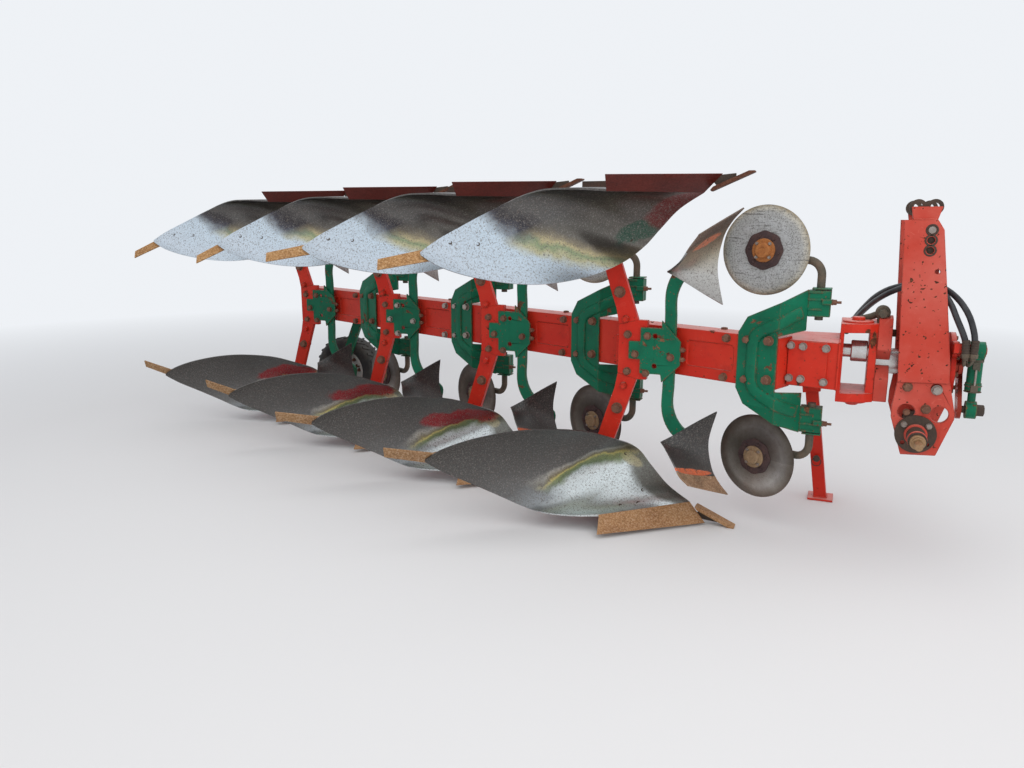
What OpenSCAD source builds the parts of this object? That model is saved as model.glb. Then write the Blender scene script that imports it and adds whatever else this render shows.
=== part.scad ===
// Four-furrow reversible mounted plough, standing on its lower shares.
// +X is the direction of travel, +Y is to the left, +Z is up, and the ground is z = 0.
// Lengths are in millimetres. Each unit is laid out from the tip of its own share point.

/* [Layout] */
// Number of plough bodies along the beam
bodies = 4; // [4:1:4]
// Distance along the beam from one body to the next
body_pitch = 950; // [900:10:1000]
// Angle between the beam and the direction of travel
beam_turn = 22; // [21:0.25:23]
// Height of the turnover axis, midway between the two sets of bodies
axis_z = 800; // [790:2:815]
// Turnover axis, to the left of the first share tip
axis_y = 120; // [110:2:130]
// From the first share tip forward to the origin, negative is rearward
origin_x = -1535.6; // [-1550:0.1:-1520]
// From the first share tip left to the origin
origin_y = 411.3; // [401:0.1:421]

/* [Beam] */
// Height of the box beam
beam_h = 220; // [200:2:224]
// Width of the box beam
beam_w = 120; // [110:2:126]
// Right face of the beam where it passes the first share tip, negative is right
beam_face = -105; // [-110:1:-100]
// Front end of the beam, measured along it from the first share tip
beam_front = 165; // [158:1:172]
// Rear end of the beam behind the last share tip, measured along it
beam_tail = 700; // [690:5:740]
// Height of the pressed panel in the beam's side
panel_h = 116; // [90:2:130]
// Depth of the pressed panel
panel_d = 6; // [3:0.5:8]
// Wall of the box beam
beam_wall = 10; // [8:1:14]

/* [Legs] */
// Thickness of the leg plates
leg_t = 30; // [24:1:32]
// Width of a leg
leg_w = 84; // [74:2:90]
// Thickness of the green setting plates
set_t = 12; // [8:1:14]
// Diameter of the spare furrow-width holes
set_hole = 22; // [16:1:24]
// Thickness of the carrier plates between beam and legs
carrier_t = 15; // [12:1:18]

/* [Bodies] */
// Thickness of a moldboard
board_t = 9; // [7:0.5:11]
// Depth of the moldboard's hollow at its middle
board_sag = 46; // [36:1:54]
// Thickness of a share
share_t = 12; // [9:0.5:14]
// Width of the reversible point
point_w = 52; // [44:2:56]
// Thickness of the frog plate
frog_t = 30; // [24:1:34]
// Height of the landside bar
landside_h = 84; // [76:2:86]
// Thickness of the landside bar
landside_t = 16; // [12:1:20]
// Width of a tailpiece bar
tail_w = 46; // [40:1:50]
// Thickness of a tailpiece bar
tail_t = 12; // [8:1:14]
// Seating clearance between bolted curved pieces
seat = 0.3; // [0.2:0.05:0.4]

/* [Skimmers] */
// Width of the skimmer bar
skim_bar_w = 50; // [44:1:56]
// Thickness of the skimmer bar
skim_bar_t = 20; // [16:1:22]
// Thickness of the skimmer board
skim_t = 7; // [5:0.5:9]

/* [Coulters] */
// Diameter of a disc coulter
disc_d = 386; // [376:2:400]
// Thickness of a disc coulter
disc_t = 5; // [4:0.5:7]
// Disc centre ahead of the share tip
disc_x = 58; // [54:1:62]
// Disc plane to the right of its stem
disc_out = 43; // [40:1:48]
// Swivel of the lower coulters about their stems
swivel_low = -27; // [-29:0.5:-20]
// Swivel of the upper coulters about their stems
swivel_up = -16; // [-18:0.5:-10]
// Height of the lower disc centre
disc_z = 333; // [325:1:345]
// Diameter of the coulter stem
stem_d = 34; // [30:1:36]
// Stem ahead of the share tip
stem_x = 295; // [290:1:300]
// Diameter of the hub flange
hub_d = 132; // [120:2:140]
// Thickness of the coulter bracket plate
bracket_t = 14; // [10:1:16]

/* [Headstock] */
// Width between the tower's side plates
tower_gap = 280; // [270:2:290]
// Thickness of the tower's side plates
tower_t = 20; // [16:1:24]
// Height of the top of the side plates
tower_top = 1395; // [1385:5:1405]
// Height of the middle upper link hole
link_z = 1316; // [1310:1:1320]
// Distance from one upper link hole to the next
link_pitch = 40; // [38:1:44]
// Diameter of the upper link holes
link_d = 32; // [25:0.5:32.5]
// Upper link holes ahead of the first share tip
link_x = 688; // [684:1:692]
// Height of the lower link pins
hitch_z = 526; // [520:1:532]
// Lower link pins ahead of the first share tip
hitch_x = 704; // [700:1:708]
// Diameter of a lower link pin
pin_d = 28; // [22:0.5:32]
// Length of the bare end of a lower link pin
pin_l = 90; // [80:2:100]
// Diameter of the stub that carries a lower link pin
stub_d = 72; // [66:1:78]
// Length of that stub outside the side plate
stub_l = 140; // [130:1:150]
// Diameter of the turnover shaft
shaft_d = 110; // [100:2:116]
// Running clearance of the turnover shaft, on the radius
shaft_gap = 0.05; // [0.02:0.01:0.09]

/* [Turnover cylinder] */
// Outer diameter of the cylinder barrel
barrel_d = 54; // [50:1:56]
// Diameter of the piston rod
rod_d = 30; // [26:1:32]
// Diameter of the pivot pins
pivot_d = 30; // [26:1:32]
// Radius of the crank on the turnover shaft
crank_r = 200; // [196:1:204]

/* [Stand and wheel] */
// Side of the square stand tube
stand_w = 60; // [50:1:62]
// Lean of the stand, forward at the foot
stand_lean = 8; // [6:0.5:9]
// Side of the stand's foot plate
foot_w = 120; // [110:2:130]
// Outer diameter of the depth wheel
wheel_d = 514; // [506:2:516]
// Width of the tyre
tyre_w = 176; // [160:2:184]
// Distance from the arm's pivot back to the wheel axle
arm_x = 235; // [225:1:245]
// Diameter of the wheel axle
axle_d = 40; // [34:1:44]

/* [Hoses] */
// Outer diameter of the hydraulic hoses
hose_d = 24; // [20:1:25]

/* [Hidden] */
$fn = 48;

slope = tan(beam_turn);
// right face of the beam at any x of the first unit
function face(x) = beam_face - slope * x;
// the same, clear of it by a hair for what is bolted there, and its opposite on the left face
touch = 0.02;
function at_face(x) = face(x) - touch;
function at_left(x) = face(x) + beam_w / cos(beam_turn) + touch;
step_x = -body_pitch * cos(beam_turn);
step_y = body_pitch * sin(beam_turn);
// a point given along the beam and to the left of its right face
function along(s, n) = [0, beam_face] + s * [cos(beam_turn), -sin(beam_turn)]
    + n * [sin(beam_turn), cos(beam_turn)];

module units(which = [0:bodies - 1])
    for (i = which) translate([i * step_x, i * step_y, 0]) children();
module upper() translate([0, 0, 2 * axis_z]) mirror([0, 0, 1]) children();
module both() { children(); upper() children(); }
module part_frame() translate([-origin_x, -origin_y, 0]) children();
// children drawn in x and z, standing in the plane y with thickness t to the left
module wall(y, t) translate([0, y + t, 0]) rotate([90, 0, 0]) linear_extrude(t) children();
// children laid on the beam's right face: x forward along it, y into it, z from the axis
module on_beam(x = 0) translate([x, face(x), axis_z]) rotate([0, 0, -beam_turn]) children();

// Surfaces of the plough bodies. Each is ruled from an outer edge to an inner edge,
// hollowed along its middle, and thickened away from the soil.
shin = [[-212, -8, 88], [-318, -9, 158], [-400, -12, 246], [-470, -18, 325], [-535, -150, 392],
    [-650, -262, 446], [-795, -400, 474], [-930, -488, 470], [-1080, -572, 440],
    [-1198, -632, 396], [-1272, -654, 350]];
edge = [[-560, -339, 88], [-655, -368, 82], [-740, -386, 80], [-822, -398, 84], [-905, -414, 104],
    [-990, -440, 142], [-1070, -482, 186], [-1140, -536, 232], [-1205, -590, 276],
    [-1248, -628, 312], [-1276, -652, 338]];
hollow = [0, 0.75, 1.1, 1.25, 1.1, 0.95, 0.75, 0.5, 0.3, 0.12, 0];
skim_front = [[-35, -30, 156], [-84, -30, 214], [-116, -44, 287], [-128, -76, 412], [-90, -126, 562]];
skim_edge = [[-172, -300, 262], [-200, -350, 318], [-236, -330, 372], [-285, -262, 408], [-320, -216, 424]];
skim_hollow = [0, 0.4, 0.55, 0.4, 0.1];

function clampi(i, n) = min(max(i, 0), n);
function spline(list, u) = let (n = len(list) - 1, k = clampi(floor(u * n), n - 1), f = u * n - k,
    a = list[clampi(k - 1, n)], b = list[k], c = list[k + 1], d = list[clampi(k + 2, n)])
    b + f * ((c - a) / 2 + f * ((2 * a - 5 * b + 4 * c - d) / 2 + f * (3 * b - a - 3 * c + d) / 2));
function unit(v) = v / norm(v);
function raw(in, out, u, w) = let (p = spline(out, u), q = spline(in, u)) p + w * (q - p);
function lean(in, out, u, w) = let (h = 0.004,
    du = raw(in, out, min(u + h, 1), w) - raw(in, out, max(u - h, 0), w),
    dw = raw(in, out, u, 1) - raw(in, out, u, 0)) unit(cross(dw, du));
// point of a surface, depth is how far behind the face it lies
function skin(in, out, sag, amount, u, w, depth) = raw(in, out, u, w)
    - lean(in, out, u, w) * (4 * w * (1 - w) * amount * spline(sag, u) + depth);
function board(u, w, depth) = skin(shin, edge, hollow, board_sag, u, w, depth);
function skim(u, w, depth) = skin(skim_front, skim_edge, skim_hollow, 30, u, w, depth);

// closed shell between two grids of points of equal size, front grid first
function shell_faces(m, n) = let (k = m * n)
    concat([for (i = [0:m - 2], j = [0:n - 2]) each [[i * n + j, (i + 1) * n + j + 1, i * n + j + 1],
            [i * n + j, (i + 1) * n + j, (i + 1) * n + j + 1]]],
        [for (i = [0:m - 2], j = [0:n - 2]) each [[k + i * n + j, k + i * n + j + 1, k + (i + 1) * n + j + 1],
            [k + i * n + j, k + (i + 1) * n + j + 1, k + (i + 1) * n + j]]],
        [for (i = [0:m - 2]) each [[i * n, k + (i + 1) * n, (i + 1) * n],
            [i * n, k + i * n, k + (i + 1) * n]]],
        [for (i = [0:m - 2]) each [[i * n + n - 1, (i + 1) * n + n - 1, k + (i + 1) * n + n - 1],
            [i * n + n - 1, k + (i + 1) * n + n - 1, k + i * n + n - 1]]],
        [for (j = [0:n - 2]) each [[j, k + j + 1, k + j], [j, j + 1, k + j + 1]]],
        [for (j = [0:n - 2]) let (a = (m - 1) * n + j) each [[a, k + a, k + a + 1], [a, k + a + 1, a + 1]]]);
module shell(front, back) {
    m = len(front); n = len(front[0]);
    polyhedron([for (r = front) each r, for (r = back) each r], shell_faces(m, n));
}
// facets along and across a moldboard
board_m = 18;
board_n = 6;
module moldboard() shell([for (i = [0:board_m]) [for (j = [0:board_n]) board(i / board_m, j / board_n, 0)]],
    [for (i = [0:board_m]) [for (j = [0:board_n]) board(i / board_m, j / board_n, board_t)]]);
// rib between the back of the moldboard and the flat of the frog plate, a part of one row of facets wide
module frog_rib(i, part, j0, j1) {
    function foot(k, j) = board(k / board_m, j / board_n, board_t + seat);
    f = [for (t = [0.5 - part / 2, 0.5 + part / 2])
        [for (j = [j0:j1]) foot(i, j) + t * (foot(i + 1, j) - foot(i, j))]];
    shell(f, [for (r = f) [for (p = r) [p.x, leg_y - frog_t, p.z]]]);
}

// panel outline with its corners cut, from its rear edge forward
module pressed_panel(long, high) for (s = [0, 1]) mirror([0, s])
    polygon([[0, 0], [0, high / 2 - 14], [10, high / 2], [long - 10, high / 2], [long, high / 2 - 14],
        [long, 0]]);
module beam() color("firebrick") part_frame() {
    length = beam_front + (bodies - 1) * body_pitch + beam_tail;
    on_beam() translate([beam_front - length, 0, 0]) difference() {
        translate([0, 0, -beam_h / 2]) cube([length, beam_w, beam_h]);
        translate([-1, beam_wall + panel_d, beam_wall - beam_h / 2])
            cube([length - beam_wall, beam_w - 2 * beam_wall - panel_d, beam_h - 2 * beam_wall]);
        for (i = [0:bodies - 1]) translate([length - beam_front - 280 - i * body_pitch, -1, 0])
            rotate([90, 0, 0]) mirror([0, 0, 1]) linear_extrude(panel_d + 1) pressed_panel(236, panel_h);
    }
}
leg_y = -20;
leg_back = leg_y + leg_t;
// rear and front end of a leg carrier, and the height of its plates above and below the axis
carrier_x0 = -598;
carrier_x1 = -446;
carrier_z = 52;
module leg_carriers() color("firebrick") part_frame() units() {
    for (s = [-1, 1]) translate([0, 0, axis_z + s * carrier_z - carrier_t / 2]) linear_extrude(carrier_t)
        polygon([[carrier_x0, leg_back], [carrier_x1, leg_back], [carrier_x1, at_face(carrier_x1)],
            [carrier_x0, at_face(carrier_x0)]]);
    for (x = [carrier_x0, carrier_x1 - carrier_t]) translate([0, 0, axis_z - carrier_z + carrier_t / 2])
        linear_extrude(2 * carrier_z - carrier_t) polygon([[x, leg_back], [x + carrier_t, leg_back],
            [x + carrier_t, at_face(x + carrier_t)], [x, at_face(x)]]);
    // block that backs the skimmer bar
    translate([0, 0, axis_z - 60]) linear_extrude(120)
        polygon([[bar_x, bar_back], [bar_x + skim_bar_w, bar_back],
            [bar_x + skim_bar_w, at_face(bar_x + skim_bar_w)], [bar_x, at_face(bar_x)]]);
}
bar_x = -360;
bar_back = leg_y + seat + skim_bar_t;
module leg_centres() color("red") part_frame() units()
    wall(leg_y, leg_t) translate([0, axis_z]) polygon([[-578, -116], [-486, -140], [-440, -140], [-440, 140],
        [-486, 140], [-578, 116]]);
module leg_profile()
    polygon([[-578, axis_z - 116.0], [-486, axis_z - 140], [-505, axis_z - 196], [-592, 346], [-592, 118],
        [-592 - leg_w, 118], [-592 - leg_w, 346], [-624, axis_z - 285], [-592, axis_z - 190]]);
module legs() color("red") part_frame() units() both() wall(leg_y, leg_t) leg_profile();
module setting_plates() color("seagreen") part_frame() units() difference() {
    wall(leg_y - set_t, set_t) translate([0, axis_z]) polygon([[-525, -42], [-470, -42], [-470, -108],
        [-372, -108], [-366, -145], [-283, -60], [-283, 50], [-372, 145], [-372, 108], [-470, 108],
        [-470, 42], [-525, 42]]);
    for (x = [-402], s = [-1, 1]) translate([x, leg_y, axis_z + s * 70])
        rotate([90, 0, 0]) cylinder(d = set_hole, h = 3 * set_t, center = true);
}
module skimmer_bars() color("seagreen") part_frame() units() {
    wall(leg_y + seat, skim_bar_t) polygon(concat(bar_end,
        [for (k = [len(bar_end) - 1:-1:0]) [bar_end[k].x, 2 * axis_z - bar_end[k].y]]));
}
bar_end = [[bar_x, 520], [bar_x + 34, 432], [-250, 356], [-214, 300], [-150, 300], [-150, 372], [-262, 446],
    [bar_x + skim_bar_w, 536]];
skim_m = 8;
skim_n = 4;
skim_split = 0.34;
function skim_foot(i, j) = skim(skim_split + (1 - skim_split) * i / skim_m, j / skim_n, skim_t + seat);
module skimmer_brackets() color("dimgray") part_frame() units() both() {
    f = [for (i = [1, 2]) [for (j = [2, 3]) skim_foot(i, j)]];
    shell(f, [for (r = f) [for (q = r) [q.x, leg_y + seat, q.z]]]);
}
module skimmer_board(lo, hi) {
    m = skim_m; n = skim_n;
    shell([for (i = [0:m]) [for (j = [0:n]) skim(lo + (hi - lo) * i / m, j / n, 0)]],
        [for (i = [0:m]) [for (j = [0:n]) skim(lo + (hi - lo) * i / m, j / n, skim_t)]]);
}
module skimmer_boards_lower() color("gray") part_frame() units() skimmer_board(skim_split, 1);
module skimmer_boards_upper() color("gray") part_frame() units() upper() skimmer_board(skim_split, 1);
module skimmer_shares() color("peru") part_frame() units() both() skimmer_board(0, skim_split - 0.002);

// Coulters
disc_edge = 250;
hub_axle = 24;
clamp_y0 = -67;
clamp_w = 64;
stem_y = clamp_y0 + clamp_w / 2;
// the bracket's rear edge, where it bends away from the beam, and how far its pressed rib stands out
c_rear = -22;
c_bend = 150;
rib_t = 9;
// outer face of the bracket's plate at any x up to the bend
function c_face(x) = face(x) - bracket_t;
module c_side() polygon([[c_rear, 0], [c_rear, 122], [14, 190], [disc_edge, 310], [disc_edge, 136],
    [c_bend - 2, 118], [c_bend - 2, 0]]);
module c_rib() polygon([[22, 0], [22, 104], [40, 140], [228, 236], [240, 196], [84, 116], [64, 90], [64, 0]]);
module coulter_brackets() color("seagreen") part_frame() units() translate([0, 0, axis_z]) {
    intersection() {
        translate([0, 0, -400]) linear_extrude(800) polygon([[c_rear, c_face(c_rear)],
            [c_bend, c_face(c_bend)], [disc_edge, clamp_y0], [disc_edge, clamp_y0 + bracket_t + 4],
            along(beam_front + 1, -touch),
            [c_rear, at_face(c_rear)]]);
        wall(-400, 800) union() { c_side(); mirror([0, 1]) c_side(); }
    }
    intersection() {
        translate([0, 0, -400]) linear_extrude(800) polygon([[c_rear, c_face(c_rear) - rib_t],
            [c_bend, c_face(c_bend) - rib_t], [disc_edge, clamp_y0 - rib_t], [disc_edge, clamp_y0],
            [c_bend, c_face(c_bend)], [c_rear, c_face(c_rear)]]);
        wall(-400, 800) union() { c_rib(); mirror([0, 1]) c_rib(); }
    }
}
module coulter_clamps() color("darkgreen") part_frame() units() both() translate([0, 0, axis_z])
difference() {
    translate([disc_edge, clamp_y0, -306]) cube([stem_x + 44 - disc_edge, clamp_w, 110]);
    translate([stem_x, stem_y, -330]) cylinder(d = stem_d + 2 * shaft_gap, h = 160);
    translate([stem_x + 10, stem_y - 3, -330]) cube([60, 6, 160]);
}
bend_r = 62;
disc_y = stem_y - disc_out;
// swivels a coulter about its upright stem
module swung(turn)
    translate([stem_x, stem_y, 0]) rotate([0, 0, turn]) translate([-stem_x, -stem_y, 0]) children();
module stem() {
    // upright, bend rearward, run behind the disc, drop and turn in to the hub
    top = axis_z - 180;
    run_z = disc_z + 38;
    translate([stem_x, stem_y, run_z + bend_r]) cylinder(d = stem_d, h = top - run_z - bend_r);
    translate([stem_x - bend_r, stem_y, run_z + bend_r]) rotate([90, 0, 0])
        rotate_extrude(angle = -90) translate([bend_r, 0]) circle(d = stem_d);
    translate([disc_x + 17, stem_y, run_z]) rotate([0, 90, 0])
        cylinder(d = stem_d, h = stem_x - bend_r - disc_x - 17);
    translate([disc_x - 22, stem_y - 17, disc_z - 22]) cube([44, 34, 38 + 22 + 17]);
    translate([disc_x, stem_y, disc_z]) rotate([90, 0, 0]) cylinder(d = hub_axle, h = disc_out + 20);
}
module coulter_stems() color("dimgray") part_frame() units() {
    swung(swivel_low) stem();
    upper() swung(swivel_up) stem();
}
module disc() translate([disc_x, disc_y, disc_z]) rotate([90, 0, 0]) difference() {
    rotate_extrude() polygon([[0, -14], [34, -14], [36, -disc_t / 2 - 1], [40, -disc_t / 2],
        [150, -disc_t / 2], [disc_d / 2 - 22, -disc_t / 2 - 3], [disc_d / 2, -disc_t / 2 - 8],
        [disc_d / 2, -disc_t / 2 - 7],
        [disc_d / 2 - 22, disc_t / 2 - 3], [150, disc_t / 2], [hub_d / 2, disc_t / 2],
        [hub_d / 2 - 2, disc_t / 2 + 6], [44, disc_t / 2 + 8], [38, disc_t / 2 + 26],
        [26, disc_t / 2 + 34], [0, disc_t / 2 + 34]]);
    translate([0, 0, -40]) cylinder(d = hub_axle + 2 * shaft_gap, h = 40 + 20 + shaft_gap);
}
module one_disc(i, up) color(up ? "silver" : "gray") part_frame() units([i])
    if (up) upper() swung(swivel_up) disc(); else swung(swivel_low) disc();
module disc_lower_1() one_disc(0, false);
module disc_lower_2() one_disc(1, false);
module disc_lower_3() one_disc(2, false);
module disc_lower_4() one_disc(3, false);
module disc_upper_1() one_disc(0, true);
module disc_upper_2() one_disc(1, true);
module disc_upper_3() one_disc(2, true);
module disc_upper_4() one_disc(3, true);

// Bodies
module frogs() color("maroon") part_frame() units() both() wall(leg_y - frog_t, frog_t)
    polygon([[-290, 62], [-304, 84], [-344, 100], [-420, 140], [-476, 180], [-538, 216], [-563, 242],
        [-567, 290], [-550, 330], [-535, 350], [-745, 350], [-745, 62]]);
module frog_ribs() color("maroon") part_frame() units() both() {
    frog_rib(3, 0.25, 2, 4);
    frog_rib(7, 0.25, 1, 4);
}
land_z = 30;
toe_z = 8;
// underside of the reversible point at a distance behind its tip
function under(d) = (d - 24) * 74 / 168;
module landsides() color("dimgray") part_frame() units() both()
    wall(leg_y, landside_t) polygon([[-292, toe_z + 24], [-304, 60], [-304, land_z + landside_h],
        [-770, land_z + landside_h], [-770, land_z], [-330, land_z], [-80, toe_z], [-80, under(80) - seat],
        [-160, under(160) - seat], [-176, toe_z + 32]]);
module moldboards_lower() color("lightsteelblue") part_frame() units() moldboard();
module moldboards_upper() color("lightsteelblue") part_frame() units() upper() moldboard();
// the share carries the moldboard's first ruling down to the cutting edge
share_tip = [-130, -56, 12];
share_wing = [-544, -418, 25];
module share() {
    m = 6; n = 3;
    down = unit(share_wing - edge[0]);
    function at(i, j) = let (top = edge[0] + (shin[0] - edge[0]) * i / m + down * seat,
        foot = share_wing + (share_tip - share_wing) * i / m) foot + (top - foot) * j / n;
    // the back runs from a thin cutting edge to the full thickness, and stops short of the moldboard
    function behind(i, j) = at(i, j) - lean(shin, edge, 0, i / m) * (3 + (share_t - 3) * j / n)
        + (j == n ? down * 2 : [0, 0, 0]);
    shell([for (i = [m:-1:0]) [for (j = [0:n]) at(i, j)]],
        [for (i = [m:-1:0]) [for (j = [0:n]) behind(i, j)]]);
}
module shares_lower() color("peru") part_frame() units() share();
module shares_upper() color("peru") part_frame() units() upper() share();
module point() translate([0, -point_w - 2, 0]) wall(0, point_w)
    polygon([[0, 0], [2, 6], [-176, under(170) + 20], [-182, under(170) + 14], [-170, under(170)], [-24, 0]]);
module points() color("peru") part_frame() units() both() point();
// the two front bodies and the two rear ones have their tailpieces set differently
tail_tips = [[-1428, -748, 388], [-1352, -748, 430]];
// how far behind the board's own back each of them is set, at its root and where it leaves the board
tail_off = [[1.5, 0.5], [4, 5.8]];
module tailpiece(tail_tip, off) {
    n = lean(shin, edge, 0.88, 0.5);
    root = board(0.83, 0.5, board_t + off[0]); mid = board(0.93, 0.5, board_t + off[1]);
    side = unit(cross(n, mid - root)) * tail_w / 2;
    front = [[root + side * 1.6, root - side * 0.9], [mid + side * 1.5, mid - side * 0.9],
        [tail_tip + side, tail_tip - side]];
    shell(front, [for (r = front) [for (p = r) p - n * tail_t]]);
}
module tailpieces() color("peru") part_frame() for (i = [0:bodies - 1]) units([i]) both()
    tailpiece(tail_tips[floor(i / 2)], tail_off[floor(i / 2)]);

// Front frame
box_x1 = 385;
box_y1 = 210;
box_h = 196;
box_back = 60;
module front_box() color("red") part_frame() translate([0, 0, axis_z - box_h / 2]) linear_extrude(box_h)
    polygon([along(beam_front, 85), [box_x1, -132], [box_x1, box_y1],
        [along(beam_front - box_back, beam_w).x, box_y1],
        along(beam_front - box_back, beam_w), along(beam_front, beam_w)]);
module swing_casting() color("red") part_frame() translate([0, axis_y, axis_z]) {
    for (s = [0, 1]) mirror([0, 0, s]) translate([0, 0, 130]) linear_extrude(38)
        polygon([[box_x1, -150], [430, -150], [500, -125], [532, -100], [532, 100], [box_x1, 100]]);
    translate([500, -100, -130]) cube([32, 200, 260]);
    translate([box_x1, -150, -130]) cube([16, 250, 260]);
}
module link_lugs() color("tomato") part_frame() {
    translate([532, axis_y, axis_z]) rotate([90, 0, 90]) linear_extrude(54) difference() {
        polygon([[-120, 60], [-90, 190], [-30, 200], [20, 120], [90, 60], [90, -60], [20, -120], [-40, -165],
            [-95, -165], [-110, -60], [-40, 0]]);
        circle(d = shaft_d + 1);
    }
}
module turnover_shaft() color("silver") part_frame() {
    translate([box_x1 + 16, axis_y - 60, axis_z + 44]) rotate([0, 90, 0])
        cylinder(d = 58, h = 500 - box_x1 - 16);
    translate([532, axis_y, axis_z]) rotate([0, 90, 0]) cylinder(d = shaft_d, h = crank_x + crank_t - 532);
    translate([crank_x, axis_y, axis_z]) rotate([90, 0, 90]) linear_extrude(crank_t) {
        circle(d = shaft_d + 36);
        crank_bar([0, 0], crank_pin - [axis_y, axis_z], 80);
        translate(crank_pin - [axis_y, axis_z]) circle(d = 80);
    }
}
// straight bar of width w from point a to point b
module crank_bar(a, b, w) {
    n = [a.y - b.y, b.x - a.x] / norm(b - a) * w / 2;
    polygon([a + n, b + n, b - n, a - n]);
}
flange_x = 808;
flange_t = 20;
crank_x = flange_x + flange_t + 18;
crank_t = 16;
// at rest the crank points down and to the right, square to the line to the barrel's pivot
crank_dir = [-0.574, -0.819];
crank_pin = [axis_y, axis_z] + crank_r * crank_dir;
pivot_at = [axis_y, axis_z] + 140 * [crank_dir.y, -crank_dir.x];
stroke_dir = (crank_pin - pivot_at) / norm(crank_pin - pivot_at);
cyl_x = crank_x + crank_t + 8.5 + barrel_d / 2;

// Headstock
right_in = axis_y - tower_gap / 2;
left_in = axis_y + tower_gap / 2;
module tower_profile() difference() {
    polygon([[588, tower_top], [706, tower_top], [730, tower_top - 38], [flange_x - 4, axis_z + 20],
        [flange_x - 2, axis_z - 30], [839, axis_z - 176], [840, axis_z - 200], [786, 440], [655, 432],
        [606, 590], [606, 640], [620, axis_z - 40]]);
    for (k = [-1:1]) translate([link_x, link_z + k * link_pitch]) circle(d = link_d);
    translate([link_x + 34, link_z - 123]) circle(d = 24);
    translate([764, axis_z - 78]) circle(d = 40);
    translate([784, 614]) circle(d = 68);
    translate([662, 616]) circle(d = 66);
    translate([hitch_x, hitch_z]) circle(d = stub_d + 0.6);
}
module tower_plates() color("firebrick") part_frame() {
    wall(right_in - tower_t, tower_t) tower_profile();
    wall(left_in, tower_t) tower_profile();
}
bearing_x = [632, 760];
bearing_t = 26;
module tower_cross() color("maroon") part_frame() {
    // two bearing plates for the turnover shaft and a spacer tube near the top
    for (x = bearing_x) translate([x, axis_y, axis_z]) rotate([90, 0, 90])
        linear_extrude(bearing_t) difference() {
        translate([-tower_gap / 2, -150]) square([tower_gap, 300]);
        circle(d = shaft_d + 2 * shaft_gap);
    }
    boss_x = bearing_x[1] + bearing_t;
    translate([boss_x, axis_y, axis_z]) rotate([0, 90, 0]) difference() {
        cylinder(d = shaft_d + 60, h = flange_x - boss_x);
        translate([0, 0, -1]) cylinder(d = shaft_d + 4, h = 100);
    }
    translate([700, right_in, 1200]) rotate([-90, 0, 0]) cylinder(d = 60, h = tower_gap);
    translate([690, right_in, 1097.6]) rotate([-90, 0, 0]) cylinder(d = 40, h = tower_gap);
}
module front_flange() color("red") part_frame() {
    translate([flange_x, axis_y, axis_z]) rotate([90, 0, 90]) linear_extrude(flange_t) difference() {
        union() {
            circle(d = 272);
            crank_bar([0, 0], pivot_at - [axis_y, axis_z], 70);
            translate(pivot_at - [axis_y, axis_z]) circle(d = 70);
            crank_bar(pivot_at - [axis_y, axis_z], [-186, 96], 40);
        }
        circle(d = shaft_d + 6);
    }
    translate([flange_x + flange_t, axis_y - 185, axis_z + 76]) cube([50, 6, 40]);
    translate([flange_x + flange_t, pivot_at.x, pivot_at.y]) rotate([0, 90, 0]) {
        cylinder(d = pivot_d, h = cyl_x + 34 - flange_x - flange_t);
        cylinder(d = 54, h = cyl_x - barrel_d / 2 - 1 - flange_x - flange_t);
    }
}
module top_bracket() color("red") part_frame() for (y = [right_in - tower_t, left_in])
    wall(y, tower_t)
        polygon([[617, tower_top], [705, tower_top], [720, tower_top + 52], [608, tower_top + 52]]);
ring_x = [632, 692];
ring_t = 14;
ring_d = 58;
module top_rings() color("black") part_frame() for (y = [right_in, left_in - ring_t], x = ring_x)
    translate([x, y + ring_t, tower_top + 50]) rotate([90, 0, 0]) difference() {
        cylinder(d = ring_d, h = ring_t);
        translate([0, 0, -1]) cylinder(d = ring_d - 20, h = ring_t + 2);
    }
// draws what is given on the right of the tower's middle, and its mirror image on the left
module hitch_sides() for (s = [0, 1]) translate([hitch_x, axis_y, hitch_z]) mirror([0, s, 0]) children();
collar_d = 158;
collar_t = 14;
module hitch_stubs() color("black") part_frame() hitch_sides() {
    translate([0, -tower_gap / 2 + 30, 0]) rotate([90, 0, 0]) cylinder(d = stub_d, h = 30 + tower_t + stub_l);
    translate([0, -tower_gap / 2 - tower_t, 0]) rotate([90, 0, 0]) difference() {
        cylinder(d = collar_d, h = collar_t);
        for (a = [40, 140, 220, 320]) rotate([0, 0, a])
            translate([collar_d / 2 - 19, 0, -1]) cylinder(d = 18, h = collar_t + 2);
    }
}
module hitch_pins() color("silver") part_frame() hitch_sides()
    translate([0, -tower_gap / 2 - tower_t - stub_l, 0]) rotate([90, 0, 0]) cylinder(d = pin_d, h = pin_l);
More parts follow.
